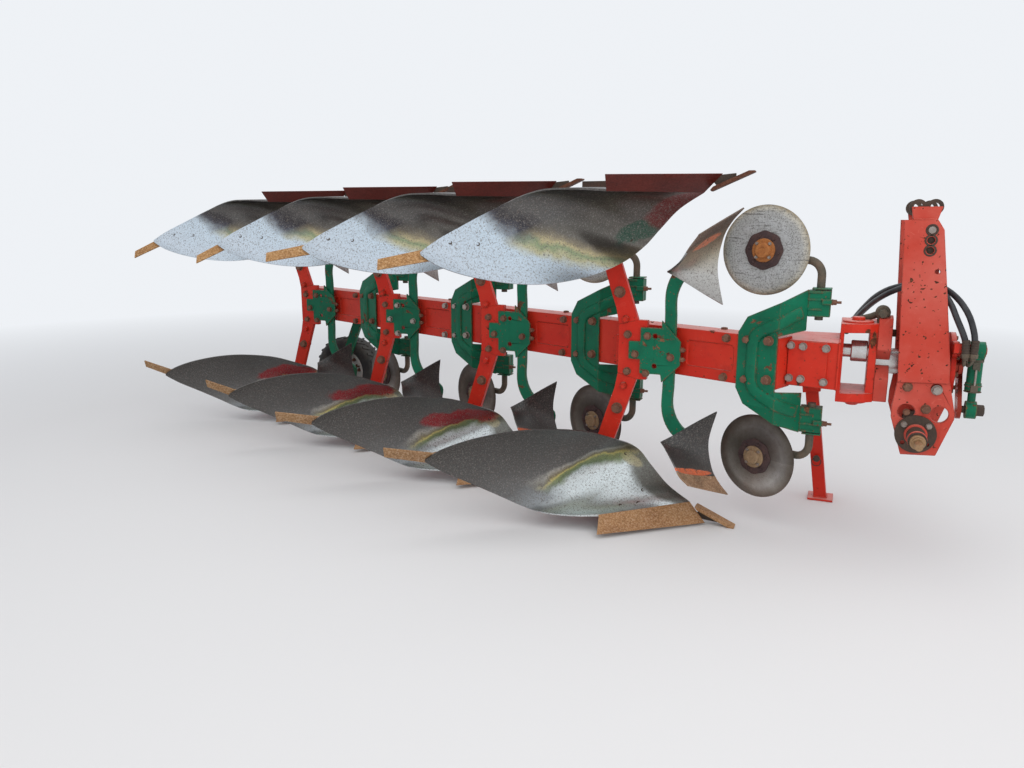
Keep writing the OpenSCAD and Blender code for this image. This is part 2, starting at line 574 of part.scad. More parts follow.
// local z runs from the barrel's pivot towards the rod's eye
module on_pivot() translate([cyl_x, pivot_at.x, pivot_at.y]) along_stroke() children();
module along_stroke() rotate([atan2(-stroke_dir.x, stroke_dir.y), 0, 0]) children();
cyl_len = norm(crank_pin - pivot_at);
module cylinder_barrel() color("darkslategray") part_frame() on_pivot() difference() {
    union() {
        translate([-barrel_d / 2, 0, 0]) rotate([0, 90, 0]) cylinder(d = 74, h = barrel_d);
        translate([0, 0, 10]) cylinder(d = barrel_d, h = cyl_len - 100 - 10);
        translate([0, 0, cyl_len - 112]) cylinder(d = barrel_d + 6, h = 30);
    }
    translate([-50, 0, 0]) rotate([0, 90, 0]) cylinder(d = pivot_d + 2 * shaft_gap, h = 100);
    translate([0, 0, 50]) cylinder(d = rod_d + 2 * shaft_gap, h = cyl_len);
}
module cylinder_rod() color("darkgreen") part_frame() on_pivot() {
    translate([0, 0, 52]) cylinder(d = rod_d, h = cyl_len - 52 - 34);
    difference() {
        translate([-20, 0, cyl_len]) rotate([0, 90, 0]) cylinder(d = 72, h = 40);
        translate([-30, 0, cyl_len]) rotate([0, 90, 0]) cylinder(d = pivot_d, h = 60);
    }
}

// Parking stand
stand_y = 560;
stand_x = 350;
sleeve_t = 12;
foot_t = 10;
module stand_axis() translate([stand_x, stand_y, 0]) rotate([0, -stand_lean, 0]) children();
module stand_leg() color("firebrick") part_frame() {
    translate([stand_x - foot_w / 2, stand_y - foot_w / 2, 0]) cube([foot_w, foot_w, foot_t]);
    intersection() {
        stand_axis() translate([-stand_w / 2, -stand_w / 2, -20]) cube([stand_w, stand_w, 860]);
        translate([-1000, 0, foot_t]) cube([3000, 1000, 1000]);
    }
}
module stand_sleeve() color("maroon") part_frame() {
    stand_axis() difference() {
        translate([-stand_w / 2 - sleeve_t, -stand_w / 2 - sleeve_t, 560])
            cube([stand_w + 2 * sleeve_t, stand_w + 2 * sleeve_t, 240]);
        translate([-stand_w / 2 - 1, -stand_w / 2 - 1, 500]) cube([stand_w + 2, stand_w + 2, 400]);
    }
    translate([215, box_y1, axis_z - 90]) cube([70, stand_y - stand_w / 2 - sleeve_t - box_y1, 60]);
}

// Depth wheel
wheel_at = [-3135, 1490, wheel_d / 2];
pivot_x = wheel_at.x + arm_x;
arm_y = 1365;
arm_t = 24;
arm_pin = 50;
module wheel_bracket() color("seagreen") part_frame() {
    translate([0, 0, axis_z - 80]) linear_extrude(160) polygon([[pivot_x - 90, at_left(pivot_x - 90)],
        [pivot_x + 90, at_left(pivot_x + 90)], [pivot_x + 60, arm_y - 40], [pivot_x - 60, arm_y - 40]]);
    translate([pivot_x, arm_y - 40, axis_z]) rotate([-90, 0, 0]) cylinder(d = 100, h = 38);
    translate([pivot_x, arm_y - 40, axis_z]) rotate([-90, 0, 0]) cylinder(d = arm_pin, h = 72);
}
module wheel_arm() color("darkgreen") part_frame() {
    difference() {
        union() {
            translate([pivot_x, arm_y, axis_z]) rotate([-90, 0, 0]) cylinder(d = 110, h = arm_t);
            translate([wheel_at.x, arm_y, wheel_at.z]) rotate([-90, 0, 0]) cylinder(d = 80, h = arm_t);
            wall(arm_y, arm_t) crank_bar([pivot_x, axis_z], [wheel_at.x, wheel_at.z], 70);
        }
        translate([pivot_x, arm_y - 1, axis_z]) rotate([-90, 0, 0])
            cylinder(d = arm_pin + 2 * shaft_gap, h = 40);
    }
    translate([wheel_at.x, arm_y + arm_t, wheel_at.z]) rotate([-90, 0, 0]) cylinder(d = axle_d, h = 100);
}
module wheel_rim() color("gainsboro") part_frame() translate(wheel_at) rotate([90, 0, 0]) difference() {
    rotate_extrude() polygon([[0, -60], [60, -60], [60, -20], [120, -10], [140, -64], [158, -64], [158, 64],
        [140, 64], [120, 6], [60, 0], [50, 70], [0, 70]]);
    translate([0, 0, -5]) cylinder(d = axle_d + 2 * shaft_gap, h = 200);
}
module wheel_tyre() color("black") part_frame() translate(wheel_at) rotate([90, 0, 0])
    rotate_extrude() polygon(concat(tyre_side,
        [for (k = [len(tyre_side) - 1:-1:0]) [tyre_side[k].x, -tyre_side[k].y]]));
// half of the tyre's section, from the bead out to the tread
tyre_side = [[158.2, -64], [170, -78], [205, -tyre_w / 2], [236, -tyre_w / 2 + 8],
    [wheel_d / 2 - 4, -tyre_w / 2 + 28], [wheel_d / 2, -30]];

// Hydraulic hoses, held on the headstock along their whole shown length
hose_run_a = [[420, 405, 905], [440, 360, 945], [468, 290, 990], [510, 200, 1045], [560, 120, 1090],
    [620, 64, 1122], [690, 40, 1130], [748, 18, 1112], [784, -12, 1066], [808, -50, 1010], [830, -74, 960],
    [844, -78, 920], [848, -78, 880]];
hose_run_b = [[420, 440, 905], [440, 400, 950], [470, 330, 1002], [512, 240, 1062], [562, 160, 1104],
    [622, 106, 1126], [690, 84, 1130], [752, 52, 1126], [806, -2, 1088], [846, -52, 1030], [870, -74, 960],
    [876, -78, 910], [876, -78, 880]];
function ring(p, d, r, n) = let (z = unit(d), x = unit(cross([0.13, 1, 0.21], z)), y = cross(z, x))
    [for (k = [0:n - 1]) p + r * (cos(360 * k / n) * x + sin(360 * k / n) * y)];
module tube(run, r) {
    n = 10; m = 26;
    pts = [for (i = [0:m]) spline(run, i / m)];
    rings = [for (i = [0:m]) ring(pts[i], pts[min(i + 1, m)] - pts[max(i - 1, 0)], r, n)];
    polyhedron([for (q = rings) each q],
        concat([[for (k = [0:n - 1]) k]], [[for (k = [n - 1:-1:0]) m * n + k]],
            [for (i = [0:m - 1], k = [0:n - 1]) let (a = i * n + k, b = i * n + (k + 1) % n)
                each [[a, b + n, b], [a, a + n, b + n]]]));
}
module hose_a() color("black") part_frame() tube(hose_run_a, hose_d / 2);
module hose_b() color("black") part_frame() tube(hose_run_b, hose_d / 2);

beam();
leg_carriers();
leg_centres();
legs();
setting_plates();
skimmer_bars();
skimmer_brackets();
skimmer_boards_lower();
skimmer_boards_upper();
skimmer_shares();
coulter_brackets();
coulter_clamps();
coulter_stems();
disc_lower_1();
disc_lower_2();
disc_lower_3();
disc_lower_4();
disc_upper_1();
disc_upper_2();
disc_upper_3();
disc_upper_4();
frogs();
frog_ribs();
landsides();
moldboards_lower();
moldboards_upper();
shares_lower();
shares_upper();
points();
tailpieces();
front_box();
swing_casting();
turnover_shaft();
link_lugs();
stand_sleeve();
stand_leg();
wheel_bracket();
wheel_arm();
wheel_rim();
wheel_tyre();
tower_plates();
tower_cross();
front_flange();
top_bracket();
top_rings();
hitch_stubs();
hitch_pins();
cylinder_barrel();
cylinder_rod();
hose_a();
hose_b();
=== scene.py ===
import bpy, bmesh, math, random
from mathutils import Vector, Matrix


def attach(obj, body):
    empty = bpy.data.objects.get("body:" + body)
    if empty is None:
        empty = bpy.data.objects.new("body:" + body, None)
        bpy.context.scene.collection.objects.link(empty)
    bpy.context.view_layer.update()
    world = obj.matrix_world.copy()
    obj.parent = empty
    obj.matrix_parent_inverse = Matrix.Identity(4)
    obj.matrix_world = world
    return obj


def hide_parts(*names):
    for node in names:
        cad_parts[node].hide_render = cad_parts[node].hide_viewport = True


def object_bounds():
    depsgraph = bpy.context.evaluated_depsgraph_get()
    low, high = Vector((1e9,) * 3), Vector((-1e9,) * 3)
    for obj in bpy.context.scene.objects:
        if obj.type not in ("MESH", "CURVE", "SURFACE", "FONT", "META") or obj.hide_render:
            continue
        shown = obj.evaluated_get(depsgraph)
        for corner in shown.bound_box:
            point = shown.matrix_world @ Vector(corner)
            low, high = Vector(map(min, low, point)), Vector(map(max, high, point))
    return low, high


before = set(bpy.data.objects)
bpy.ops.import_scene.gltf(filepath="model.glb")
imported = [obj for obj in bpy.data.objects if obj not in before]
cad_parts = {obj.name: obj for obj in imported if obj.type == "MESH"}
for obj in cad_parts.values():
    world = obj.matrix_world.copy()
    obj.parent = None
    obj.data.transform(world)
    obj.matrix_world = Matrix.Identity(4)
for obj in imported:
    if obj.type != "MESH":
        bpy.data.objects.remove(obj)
cadBox = [list(corner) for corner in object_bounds()]
print("plough frame loaded:", len(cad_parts), "nodes")

# places below are in metres from the tip of the first lower share, heights from the ground
layout = {
    "shift": Vector((cadBox[1][0] - 0.9315, cadBox[1][1] - 1.578, 0)),
    "pitch": 0.95, "turn": math.radians(22), "bodies": 4, "axisHeight": 0.8}
axisHeight = layout["axisHeight"]
bodies = range(layout["bodies"])
beamOut = Vector((-math.sin(layout["turn"]), -math.cos(layout["turn"]), 0))  # square to the beam's right face


def place(x, y, z):
    return Vector((x, y, z)) + layout["shift"]


def onUnit(i, flip=False):
    # moves a point of the first lower body to body i, or to its mirrored upper twin
    step = Vector((-math.cos(layout["turn"]), math.sin(layout["turn"]), 0)) * layout["pitch"] * i

    def put(p):
        x, y, z = Vector(p) + step
        return place(x, y, 2 * axisHeight - z if flip else z)
    return put


def addObject(name, data):
    made = bpy.data.objects.new(name, data)
    bpy.context.scene.collection.objects.link(made)
    return made


# camera where the photographer stood
view = {"spot": place(0.41, -3.63, 1.395), "heading": math.radians(113), "dip": math.radians(11.66),
        "lens": 36 * 795 / 1024, "sensor": 36, "farthest": 200}
cameraData = bpy.data.cameras.new("yardCamera")
cameraData.lens = view["lens"]
cameraData.sensor_width = view["sensor"]
cameraData.clip_end = view["farthest"]
yardCamera = addObject("yardCamera", cameraData)
yardCamera.location = view["spot"]
level = math.cos(view["dip"])
aim = Vector((level * math.cos(view["heading"]), level * math.sin(view["heading"]), -math.sin(view["dip"])))
yardCamera.rotation_euler = aim.to_track_quat("-Z", "Y").to_euler()
bpy.context.scene.camera = yardCamera


# finishes
class Graph:
    # short calls for the nodes of one tree; a socket takes a number, a colour or another node's output
    def __init__(self, tree):
        self.tree = tree

    def feed(self, node, sockets):
        for key, value in sockets.items():
            socket = node.inputs[key if isinstance(key, int) else key.replace("_", " ")]
            if isinstance(value, bpy.types.NodeSocket):
                self.tree.links.new(value, socket)
            elif isinstance(value, tuple):
                socket.default_value = (*value, 1)[:len(socket.default_value)]
            else:
                socket.default_value = value

    def add(self, kind, settings=None, **sockets):
        node = self.tree.nodes.new("ShaderNode" + kind)
        for key, value in (settings or {}).items():
            setattr(node, key, value)
        self.feed(node, sockets)
        return node

    def shade(self, **sockets):
        self.feed(self.shader, sockets)
        return self.material

    def noise(self, scale, detail=3, roughness=0.55, distortion=0.0, at=None):
        point = self.point if at is None else at
        node = self.add("TexNoise", Vector=point, Scale=scale, Detail=detail, Roughness=roughness,
                        Distortion=distortion)
        return node.outputs["Fac"]

    def ramp(self, factor, stops):
        node = self.add("ValToRGB", Fac=factor)
        elements = node.color_ramp.elements
        while len(elements) < len(stops):
            elements.new(0.5)
        for element, (at, colour) in zip(elements, stops):
            element.position = at
            element.color = (*colour, 1)
        return node.outputs["Color"]

    def step(self, factor, low, high):
        # 0 at low, 1 at high, and straight between them
        return self.add("MapRange", Value=factor, From_Min=low, From_Max=high).outputs["Result"]

    def maths(self, operation, a, b, clamp=True):
        node = self.add("Math", {"operation": operation, "use_clamp": clamp})
        self.feed(node, {0: a, 1: b})
        return node.outputs[0]

    def times(self, a, b, clamp=True):
        return self.maths("MULTIPLY", a, b, clamp)

    def plus(self, a, b, clamp=True):
        return self.maths("ADD", a, b, clamp)

    def minus(self, a, b, clamp=True):
        return self.maths("SUBTRACT", a, b, clamp)

    def mix(self, factor, a, b, blend="MIX"):
        node = self.add("Mix", {"data_type": "RGBA", "blend_type": blend})
        self.feed(node, {0: factor, 6: a, 7: b})
        return node.outputs[2]

    def between(self, factor, a, b):
        # one number passes into another
        return self.mix(factor, (a,) * 3, (b,) * 3)

    def darken(self, colour, shade):
        return self.mix(1.0, colour, shade, "MULTIPLY")

    def bump(self, height, strength, distance):
        return self.add("Bump", Height=height, Strength=strength, Distance=distance).outputs["Normal"]

    def axes(self, vector):
        node = self.add("SeparateXYZ")
        self.feed(node, {0: vector})
        return [node.outputs[axis] for axis in "XYZ"]

    def normal(self):
        return self.add("NewGeometry").outputs["Normal"]

    def stretched(self, vector, scale, rotation=(0, 0, 0)):
        return self.add("Mapping", Vector=vector, Scale=scale, Rotation=rotation).outputs["Vector"]

    def seenBy(self, *kinds):
        # 1 for rays of these kinds
        rays = self.add("LightPath").outputs
        shown = rays["Is %s Ray" % kinds[0]]
        for kind in kinds[1:]:
            shown = self.maths("MAXIMUM", shown, rays["Is %s Ray" % kind])
        return shown

    def cornerMask(self, radius):
        # 1 along the outer corners of a plate, where paint wears off first
        dot = self.add("VectorMath", {"operation": "DOT_PRODUCT"})
        rounded = self.add("Bevel", {"samples": 4}, Radius=radius).outputs["Normal"]
        self.feed(dot, {0: rounded, 1: self.normal()})
        return self.step(dot.outputs["Value"], 0.98, 0.8)


def startMaterial(name):
    material = bpy.data.materials.new(name)
    material.use_nodes = True
    g = Graph(material.node_tree)
    g.material = material
    g.shader = g.tree.nodes["Principled BSDF"]
    g.point = g.add("TexCoord").outputs["Object"]
    return g


def shades(places, colours):
    return list(zip(places, colours))


def wornPaint(name, finish):
    g = startMaterial(name)
    fade = g.noise(finish["fadeScale"], 4, 0.6)
    grime = g.noise(9, 8, 0.7)
    flakes = g.noise(finish["flakeScale"], 10, 0.62, 0.4)
    dots = g.noise(finish["dotScale"], 2, 0.5)
    scuffs = g.noise(38, 6, 0.75, 1.2)
    colour = g.mix(g.step(fade, 0.42, 0.68), finish["paint"], finish["faded"])
    # upward faces turn paler: dust, and a painted highlight of the sky's glare
    top = g.times(g.step(g.axes(g.normal())[2], 0.75, 1.0), g.step(grime, 0.3, 0.6))
    colour = g.mix(g.times(top, finish["dust"]), colour, finish["dustAndGlareColour"])
    colour = g.mix(g.times(g.step(grime, 0.52, 0.75), finish["grime"]), colour, finish["dirt"])
    colour = g.mix(g.times(g.step(scuffs, 0.60, 0.70), finish["scuffs"]), colour, finish["scuffColour"])
    corner = g.times(g.cornerMask(finish["edgeWidth"]), g.step(flakes, 0.40, 0.50))
    flaked = g.step(flakes, finish["flakeLimit"], finish["flakeLimit"] + 0.015)
    dotted = g.step(dots, finish["dotLimit"], finish["dotLimit"] + 0.02)
    bare = g.plus(g.plus(flaked, corner), dotted)
    rust = g.ramp(g.noise(60, 4, 0.7), shades((0.3, 0.55, 0.75), finish["rust"]))
    gloss = g.between(grime, finish["gloss"], finish["gloss"] + 0.22)
    raised = g.minus(g.plus(g.times(grime, 0.35), 0.5), g.times(bare, 0.5))
    return g.shade(
        Base_Color=g.mix(bare, colour, rust), Roughness=g.mix(bare, gloss, (0.85,) * 3),
        Specular_IOR_Level=0.22, Normal=g.bump(raised, 0.35, 0.002))


# rust colours go from dark to light
redPaint = wornPaint("redPaint", {
    "paint": (0.56, 0.022, 0.010), "faded": (0.62, 0.042, 0.020), "fadeScale": 2.2,
    "flakeScale": 7.0, "flakeLimit": 0.645, "dotScale": 72, "dotLimit": 0.695, "edgeWidth": 0.006,
    "dust": 0.75, "dustAndGlareColour": (0.70, 0.36, 0.32), "grime": 0.5, "dirt": (0.24, 0.014, 0.010),
    "scuffs": 0.30, "scuffColour": (0.72, 0.17, 0.11), "gloss": 0.30,
    "rust": ((0.035, 0.014, 0.010), (0.13, 0.045, 0.022), (0.27, 0.11, 0.05))})
# paler red of the headstock: faded paint, and a painted glare of the sky
fadedGlaredRedPaint = wornPaint("fadedGlaredRedPaint", {
    "paint": (0.52, 0.055, 0.034), "faded": (0.58, 0.120, 0.090), "fadeScale": 3.0,
    "flakeScale": 9.0, "flakeLimit": 0.665, "dotScale": 62, "dotLimit": 0.665, "edgeWidth": 0.006,
    "dust": 0.7, "dustAndGlareColour": (0.68, 0.30, 0.24), "grime": 0.35, "dirt": (0.40, 0.030, 0.018),
    "scuffs": 0.35, "scuffColour": (0.78, 0.27, 0.20), "gloss": 0.36,
    "rust": ((0.025, 0.012, 0.010), (0.10, 0.035, 0.020), (0.22, 0.09, 0.05))})
greenPaint = wornPaint("greenPaint", {
    "paint": (0.001, 0.118, 0.058), "faded": (0.002, 0.155, 0.080), "fadeScale": 3.0,
    "flakeScale": 11.0, "flakeLimit": 0.615, "dotScale": 78, "dotLimit": 0.685, "edgeWidth": 0.011,
    "dust": 0.4, "dustAndGlareColour": (0.16, 0.34, 0.26), "grime": 0.7, "dirt": (0.008, 0.050, 0.032),
    "scuffs": 0.15, "scuffColour": (0.03, 0.20, 0.12), "gloss": 0.32,
    "rust": ((0.035, 0.020, 0.014), (0.17, 0.075, 0.040), (0.34, 0.16, 0.08))})
print("paints ready")


def rustedSteel(name, finish):
    g = startMaterial(name)
    broad = g.noise(finish["broad"], 6, 0.65)
    fine = g.noise(finish["fine"], 5, 0.75)
    colour = g.mix(0.45, g.ramp(broad, finish["broadStops"]), g.ramp(fine, finish["fineStops"]))
    if "tint" in finish:  # another colour beyond a place on the plough
        axis, start = finish["tintFrom"]
        beyond = g.step(g.axes(g.point)[axis], start - 0.01, start + 0.01)
        colour = g.mix(beyond, colour, g.darken(colour, finish["tint"]))
    bright = g.step(broad, finish["brightFrom"], finish["brightFrom"] + 0.12)
    return g.shade(
        Base_Color=colour, Metallic=g.times(bright, finish["metal"]),
        Roughness=g.between(bright, finish["rough"], finish["smooth"]),
        Normal=g.bump(fine, finish["relief"], 0.0015))


def steelLook(numbers, broadColours, fineColours, broadAt=(0.3, 0.5, 0.7), fineAt=(0.3, 0.6, 0.8)):
    # numbers: scales of the broad and the fine mottling, where it turns bright, how metallic it is there,
    # roughness of the rusty and of the bright parts, relief
    names = ("broad", "fine", "brightFrom", "metal", "rough", "smooth", "relief")
    stops = {"broadStops": shades(broadAt, broadColours), "fineStops": shades(fineAt, fineColours)}
    return dict(zip(names, numbers)) | stops


ochreFinish = steelLook(
    (6, 120, 0.66, 0.3, 0.78, 0.5, 0.35), ((0.22, 0.100, 0.038), (0.37, 0.19, 0.075), (0.47, 0.28, 0.13)),
    ((0.07, 0.035, 0.022), (0.34, 0.17, 0.075), (0.56, 0.43, 0.32)), fineAt=(0.40, 0.50, 0.62))
upperHalf = {"tintFrom": (2, axisHeight)}
lowerShareRust = rustedSteel("lowerShareRust", ochreFinish)
upperShareRust = rustedSteel("upperShareRust", ochreFinish | upperHalf | {
    "tint": (0.30, 0.07, 0.09), "rough": 0.5})
pointRust = rustedSteel("pointRust", ochreFinish | upperHalf | {"tint": (0.30, 0.19, 0.19)})
tailRust = rustedSteel("tailRust", ochreFinish | upperHalf | {
    "broadStops": [(0.3, (0.20, 0.105, 0.045)), (0.5, (0.27, 0.155, 0.065)), (0.7, (0.33, 0.20, 0.09))],
    "tint": (1.35, 1.28, 1.08)})
skimmerRust = rustedSteel("skimmerRust", ochreFinish | upperHalf | {
    "brightFrom": 0.45, "metal": 0.5, "tint": (0.40, 0.46, 0.60),
    "broadStops": [(0.3, (0.26, 0.15, 0.085)), (0.5, (0.36, 0.23, 0.14)), (0.7, (0.44, 0.32, 0.22))]})
darkIron = rustedSteel("darkIron", steelLook(
    (9, 150, 0.6, 0.4, 0.75, 0.5, 0.3), ((0.030, 0.024, 0.020), (0.060, 0.040, 0.028), (0.12, 0.070, 0.045)),
    ((0.020, 0.016, 0.014), (0.070, 0.045, 0.032), (0.16, 0.085, 0.045)), broadAt=(0.3, 0.55, 0.75)))
stemIron = rustedSteel("stemIron", steelLook(
    (12, 130, 0.62, 0.3, 0.7, 0.5, 0.3), ((0.020, 0.050, 0.036), (0.085, 0.075, 0.055), (0.20, 0.13, 0.085)),
    ((0.030, 0.030, 0.024), (0.10, 0.075, 0.050), (0.24, 0.16, 0.10))))
boltRust = rustedSteel("boltRust", steelLook(
    (30, 240, 0.62, 0.5, 0.65, 0.4, 0.3), ((0.07, 0.030, 0.018), (0.17, 0.070, 0.040), (0.28, 0.15, 0.09)),
    ((0.05, 0.022, 0.015), (0.19, 0.085, 0.050), (0.35, 0.22, 0.15))))
zincBolt = rustedSteel("zincBolt", steelLook(
    (40, 260, 0.3, 0.8, 0.5, 0.34, 0.12), ((0.20, 0.15, 0.12), (0.36, 0.32, 0.29), (0.48, 0.46, 0.44)),
    ((0.18, 0.12, 0.08), (0.38, 0.34, 0.31), (0.54, 0.52, 0.50))))
bareRod = rustedSteel("bareRod", steelLook(
    (14, 200, 0.25, 0.9, 0.45, 0.22, 0.1), ((0.34, 0.31, 0.28), (0.58, 0.57, 0.56), (0.70, 0.70, 0.69)),
    ((0.34, 0.30, 0.26), (0.58, 0.57, 0.56), (0.70, 0.70, 0.69)))
    | {"tintFrom": (0, place(0.62, 0, 0).x), "tint": (0.50, 0.075, 0.05)})
pinBrass = rustedSteel("pinBrass", steelLook(
    (30, 180, 0.4, 0.7, 0.5, 0.32, 0.2), ((0.20, 0.10, 0.05), (0.36, 0.22, 0.11), (0.46, 0.31, 0.17)),
    ((0.14, 0.07, 0.04), (0.38, 0.24, 0.13), (0.52, 0.38, 0.24))))
hubRust = rustedSteel("hubRust", steelLook(
    (26, 170, 0.7, 0.3, 0.8, 0.6, 0.5), ((0.030, 0.018, 0.022), (0.055, 0.030, 0.030), (0.10, 0.050, 0.040)),
    ((0.022, 0.015, 0.016), (0.065, 0.036, 0.034), (0.14, 0.070, 0.055))))
capOrange = rustedSteel("capOrange", steelLook(
    (40, 150, 0.7, 0.2, 0.75, 0.55, 0.4), ((0.20, 0.060, 0.016), (0.36, 0.125, 0.030), (0.46, 0.19, 0.055)),
    ((0.14, 0.045, 0.015), (0.38, 0.14, 0.035), (0.52, 0.24, 0.09))))
capBronze = rustedSteel("capBronze", steelLook(
    (40, 150, 0.5, 0.5, 0.6, 0.4, 0.4), ((0.17, 0.10, 0.055), (0.30, 0.20, 0.11), (0.42, 0.31, 0.19)),
    ((0.10, 0.060, 0.035), (0.32, 0.21, 0.12), (0.48, 0.36, 0.24))))


def blackRubber(name, finish):
    g = startMaterial(name)
    dust = g.step(g.noise(finish["scale"], 6, 0.65), 0.4, 0.75)
    return g.shade(
        Base_Color=g.mix(dust, finish["clean"], finish["dusty"]), Roughness=finish["rough"],
        Normal=g.bump(g.noise(finish["grain"], 3), 0.15, 0.001))


hoseRubber = blackRubber("hoseRubber", {
    "scale": 14, "clean": (0.012, 0.013, 0.016), "dusty": (0.050, 0.052, 0.056), "rough": 0.38, "grain": 400})
tyreRubber = blackRubber("tyreRubber", {
    "scale": 8, "clean": (0.014, 0.014, 0.014), "dusty": (0.075, 0.068, 0.058), "rough": 0.75, "grain": 180})


def spotMask(g, u, v, ragged, at, half, lean, torn, soft):
    # an oval patch of the sheet that leans along it, with a torn border
    across = g.minus(v, at[1], False)
    along = g.plus(g.minus(u, at[0], False), g.times(across, lean, False), False)
    reach = g.times(ragged, torn, False)
    squares = []
    for way, size in ((along, half[0]), (across, half[1])):
        part = g.maths("ABSOLUTE", g.maths("DIVIDE", way, size, False), 0, False)
        squares.append(g.maths("POWER", part, 2, False))
    reach = g.plus(g.plus(*squares, False), reach, False)
    return g.step(reach, 1.0 + soft + torn / 2, 1.0 - soft + torn / 2)


def scouredSheet(name, finish):
    # steel scoured by the soil: bands across it, painted reflection on the moldboards; speckles, scratches
    # along it; patches of old paint and of painted reflection
    g = startMaterial(name)
    uv = g.add("UVMap", {"uv_map": "sheet"}).outputs["UV"]
    u, v = g.axes(uv)[:2]
    drift = g.times(g.minus(g.noise(6.0, 5, 0.6), 0.5, False), finish["wander"], False)
    bent = g.times(g.times(v, v, False), finish["bend"], False)
    along = g.plus(g.plus(u, bent, False), drift, False)
    lowBands = g.ramp(along, finish["lowStops"])
    highBands = g.ramp(along, finish["highStops"])
    colour = g.mix(g.step(v, *finish["bandSwitch"]), lowBands, highBands)
    ragged = g.noise(18, 8, 0.7)
    paint = None
    for at, half, lean, torn, soft, amount, tint, dullness in finish["patches"]:
        mask = spotMask(g, g.plus(u, drift, False), v, ragged, at, half, lean, torn, soft)
        mask = g.times(mask, amount)
        colour = g.mix(mask, colour, tint)
        dull = g.times(mask, dullness)
        paint = dull if paint is None else g.maths("MAXIMUM", paint, dull)
    lengthways = g.stretched(uv, (3, 90, 1))
    scratches = g.noise(6, 6, 0.7, at=lengthways)
    colour = g.mix(g.times(g.step(scratches, 0.45, 0.75), finish["scratches"]), colour, finish["scratch"])
    speck = g.noise(125, 3, 0.8)
    patchy = g.noise(7, 6, 0.7)
    specks = g.times(g.step(speck, 0.545, 0.61), g.step(patchy, 0.15, 0.45))
    pits = g.step(g.noise(48, 3, 0.6), 0.68, 0.72)
    specks = g.times(g.maths("MAXIMUM", specks, pits), finish["speckles"])
    grain = g.ramp(g.noise(170, 4, 0.75), [(0.36, (0.80,) * 3), (0.64, (1.0,) * 3)])
    streaks = g.ramp(g.noise(1.3, 5, 0.75, at=lengthways), [(0.35, (0.84,) * 3), (0.65, (1.0,) * 3)])
    colour = g.mix(specks, g.darken(g.darken(colour, grain), streaks), finish["speckle"])
    # pale nicks in the same places, which show where the steel is dark
    nicks = g.times(g.step(g.noise(150, 4, 0.8), 0.54, 0.62), finish["nicks"])
    colour = g.mix(nicks, colour, finish["nick"])
    metal = g.minus(g.minus(finish["metal"], g.times(specks, 0.6)), paint)
    rough = g.between(along, finish["roughFront"], finish["roughTail"])
    relief = g.plus(g.times(scratches, 0.6), g.times(speck, 0.4))
    return g.shade(
        Base_Color=colour, Metallic=metal, Roughness=g.mix(g.times(patchy, 0.5), rough, (0.55,) * 3),
        Normal=g.bump(relief, 0.08, 0.001))


# patches: place and half size as shares of the sheet, lean, raggedness, softness, amount, colour, dullness
# the moldboards' bands paint reflections into the steel's colour: bright sky, gold and green of the frame,
# dark ground
reflectedSilver = (0.76, 0.88, 0.98)
brightReflectedSilver = (0.93, 1.0, 1.0)
dimReflectedSilver = [(0.62, reflectedSilver), (0.85, (0.77, 0.86, 0.95)), (1.0, (0.66, 0.74, 0.82))]
upperSheet = scouredSheet("upperSheet", {
    "wander": 0.16, "bend": 0.15, "bandSwitch": (0.30, 0.48),
    "scratches": 0.12, "scratch": (0.60, 0.62, 0.64), "nicks": 0.28, "nick": (0.55, 0.52, 0.48),
    "speckles": 0.75, "speckle": (0.12, 0.10, 0.09), "metal": 0.96, "roughFront": 0.30, "roughTail": 0.26,
    "lowStops": [(0.0, (0.11, 0.10, 0.095)), (0.30, (0.12, 0.115, 0.11)), (0.46, (0.15, 0.145, 0.14)),
                 (0.515, (0.06, 0.055, 0.06)), (0.545, (0.09, 0.09, 0.11)), (0.575, (0.34, 0.38, 0.42))]
    + dimReflectedSilver,
    "highStops": [(0.0, (0.12, 0.095, 0.080)), (0.30, (0.13, 0.12, 0.11)), (0.46, (0.19, 0.175, 0.15)),
                  (0.50, (0.34, 0.29, 0.20)), (0.53, (0.66, 0.56, 0.32)), (0.555, (0.34, 0.42, 0.24)),
                  (0.58, (0.66, 0.62, 0.38))] + dimReflectedSilver,
    # the dark green patch by the shin is a painted reflection
    "patches": [((0.25, 0.88), (0.085, 0.11), 0.3, 1.2, 0.25, 0.9, (0.025, 0.085, 0.055), 0.3),
                ((0.08, 0.93), (0.12, 0.14), 0.0, 1.0, 0.3, 0.85, (0.20, 0.030, 0.030), 0.4)]})
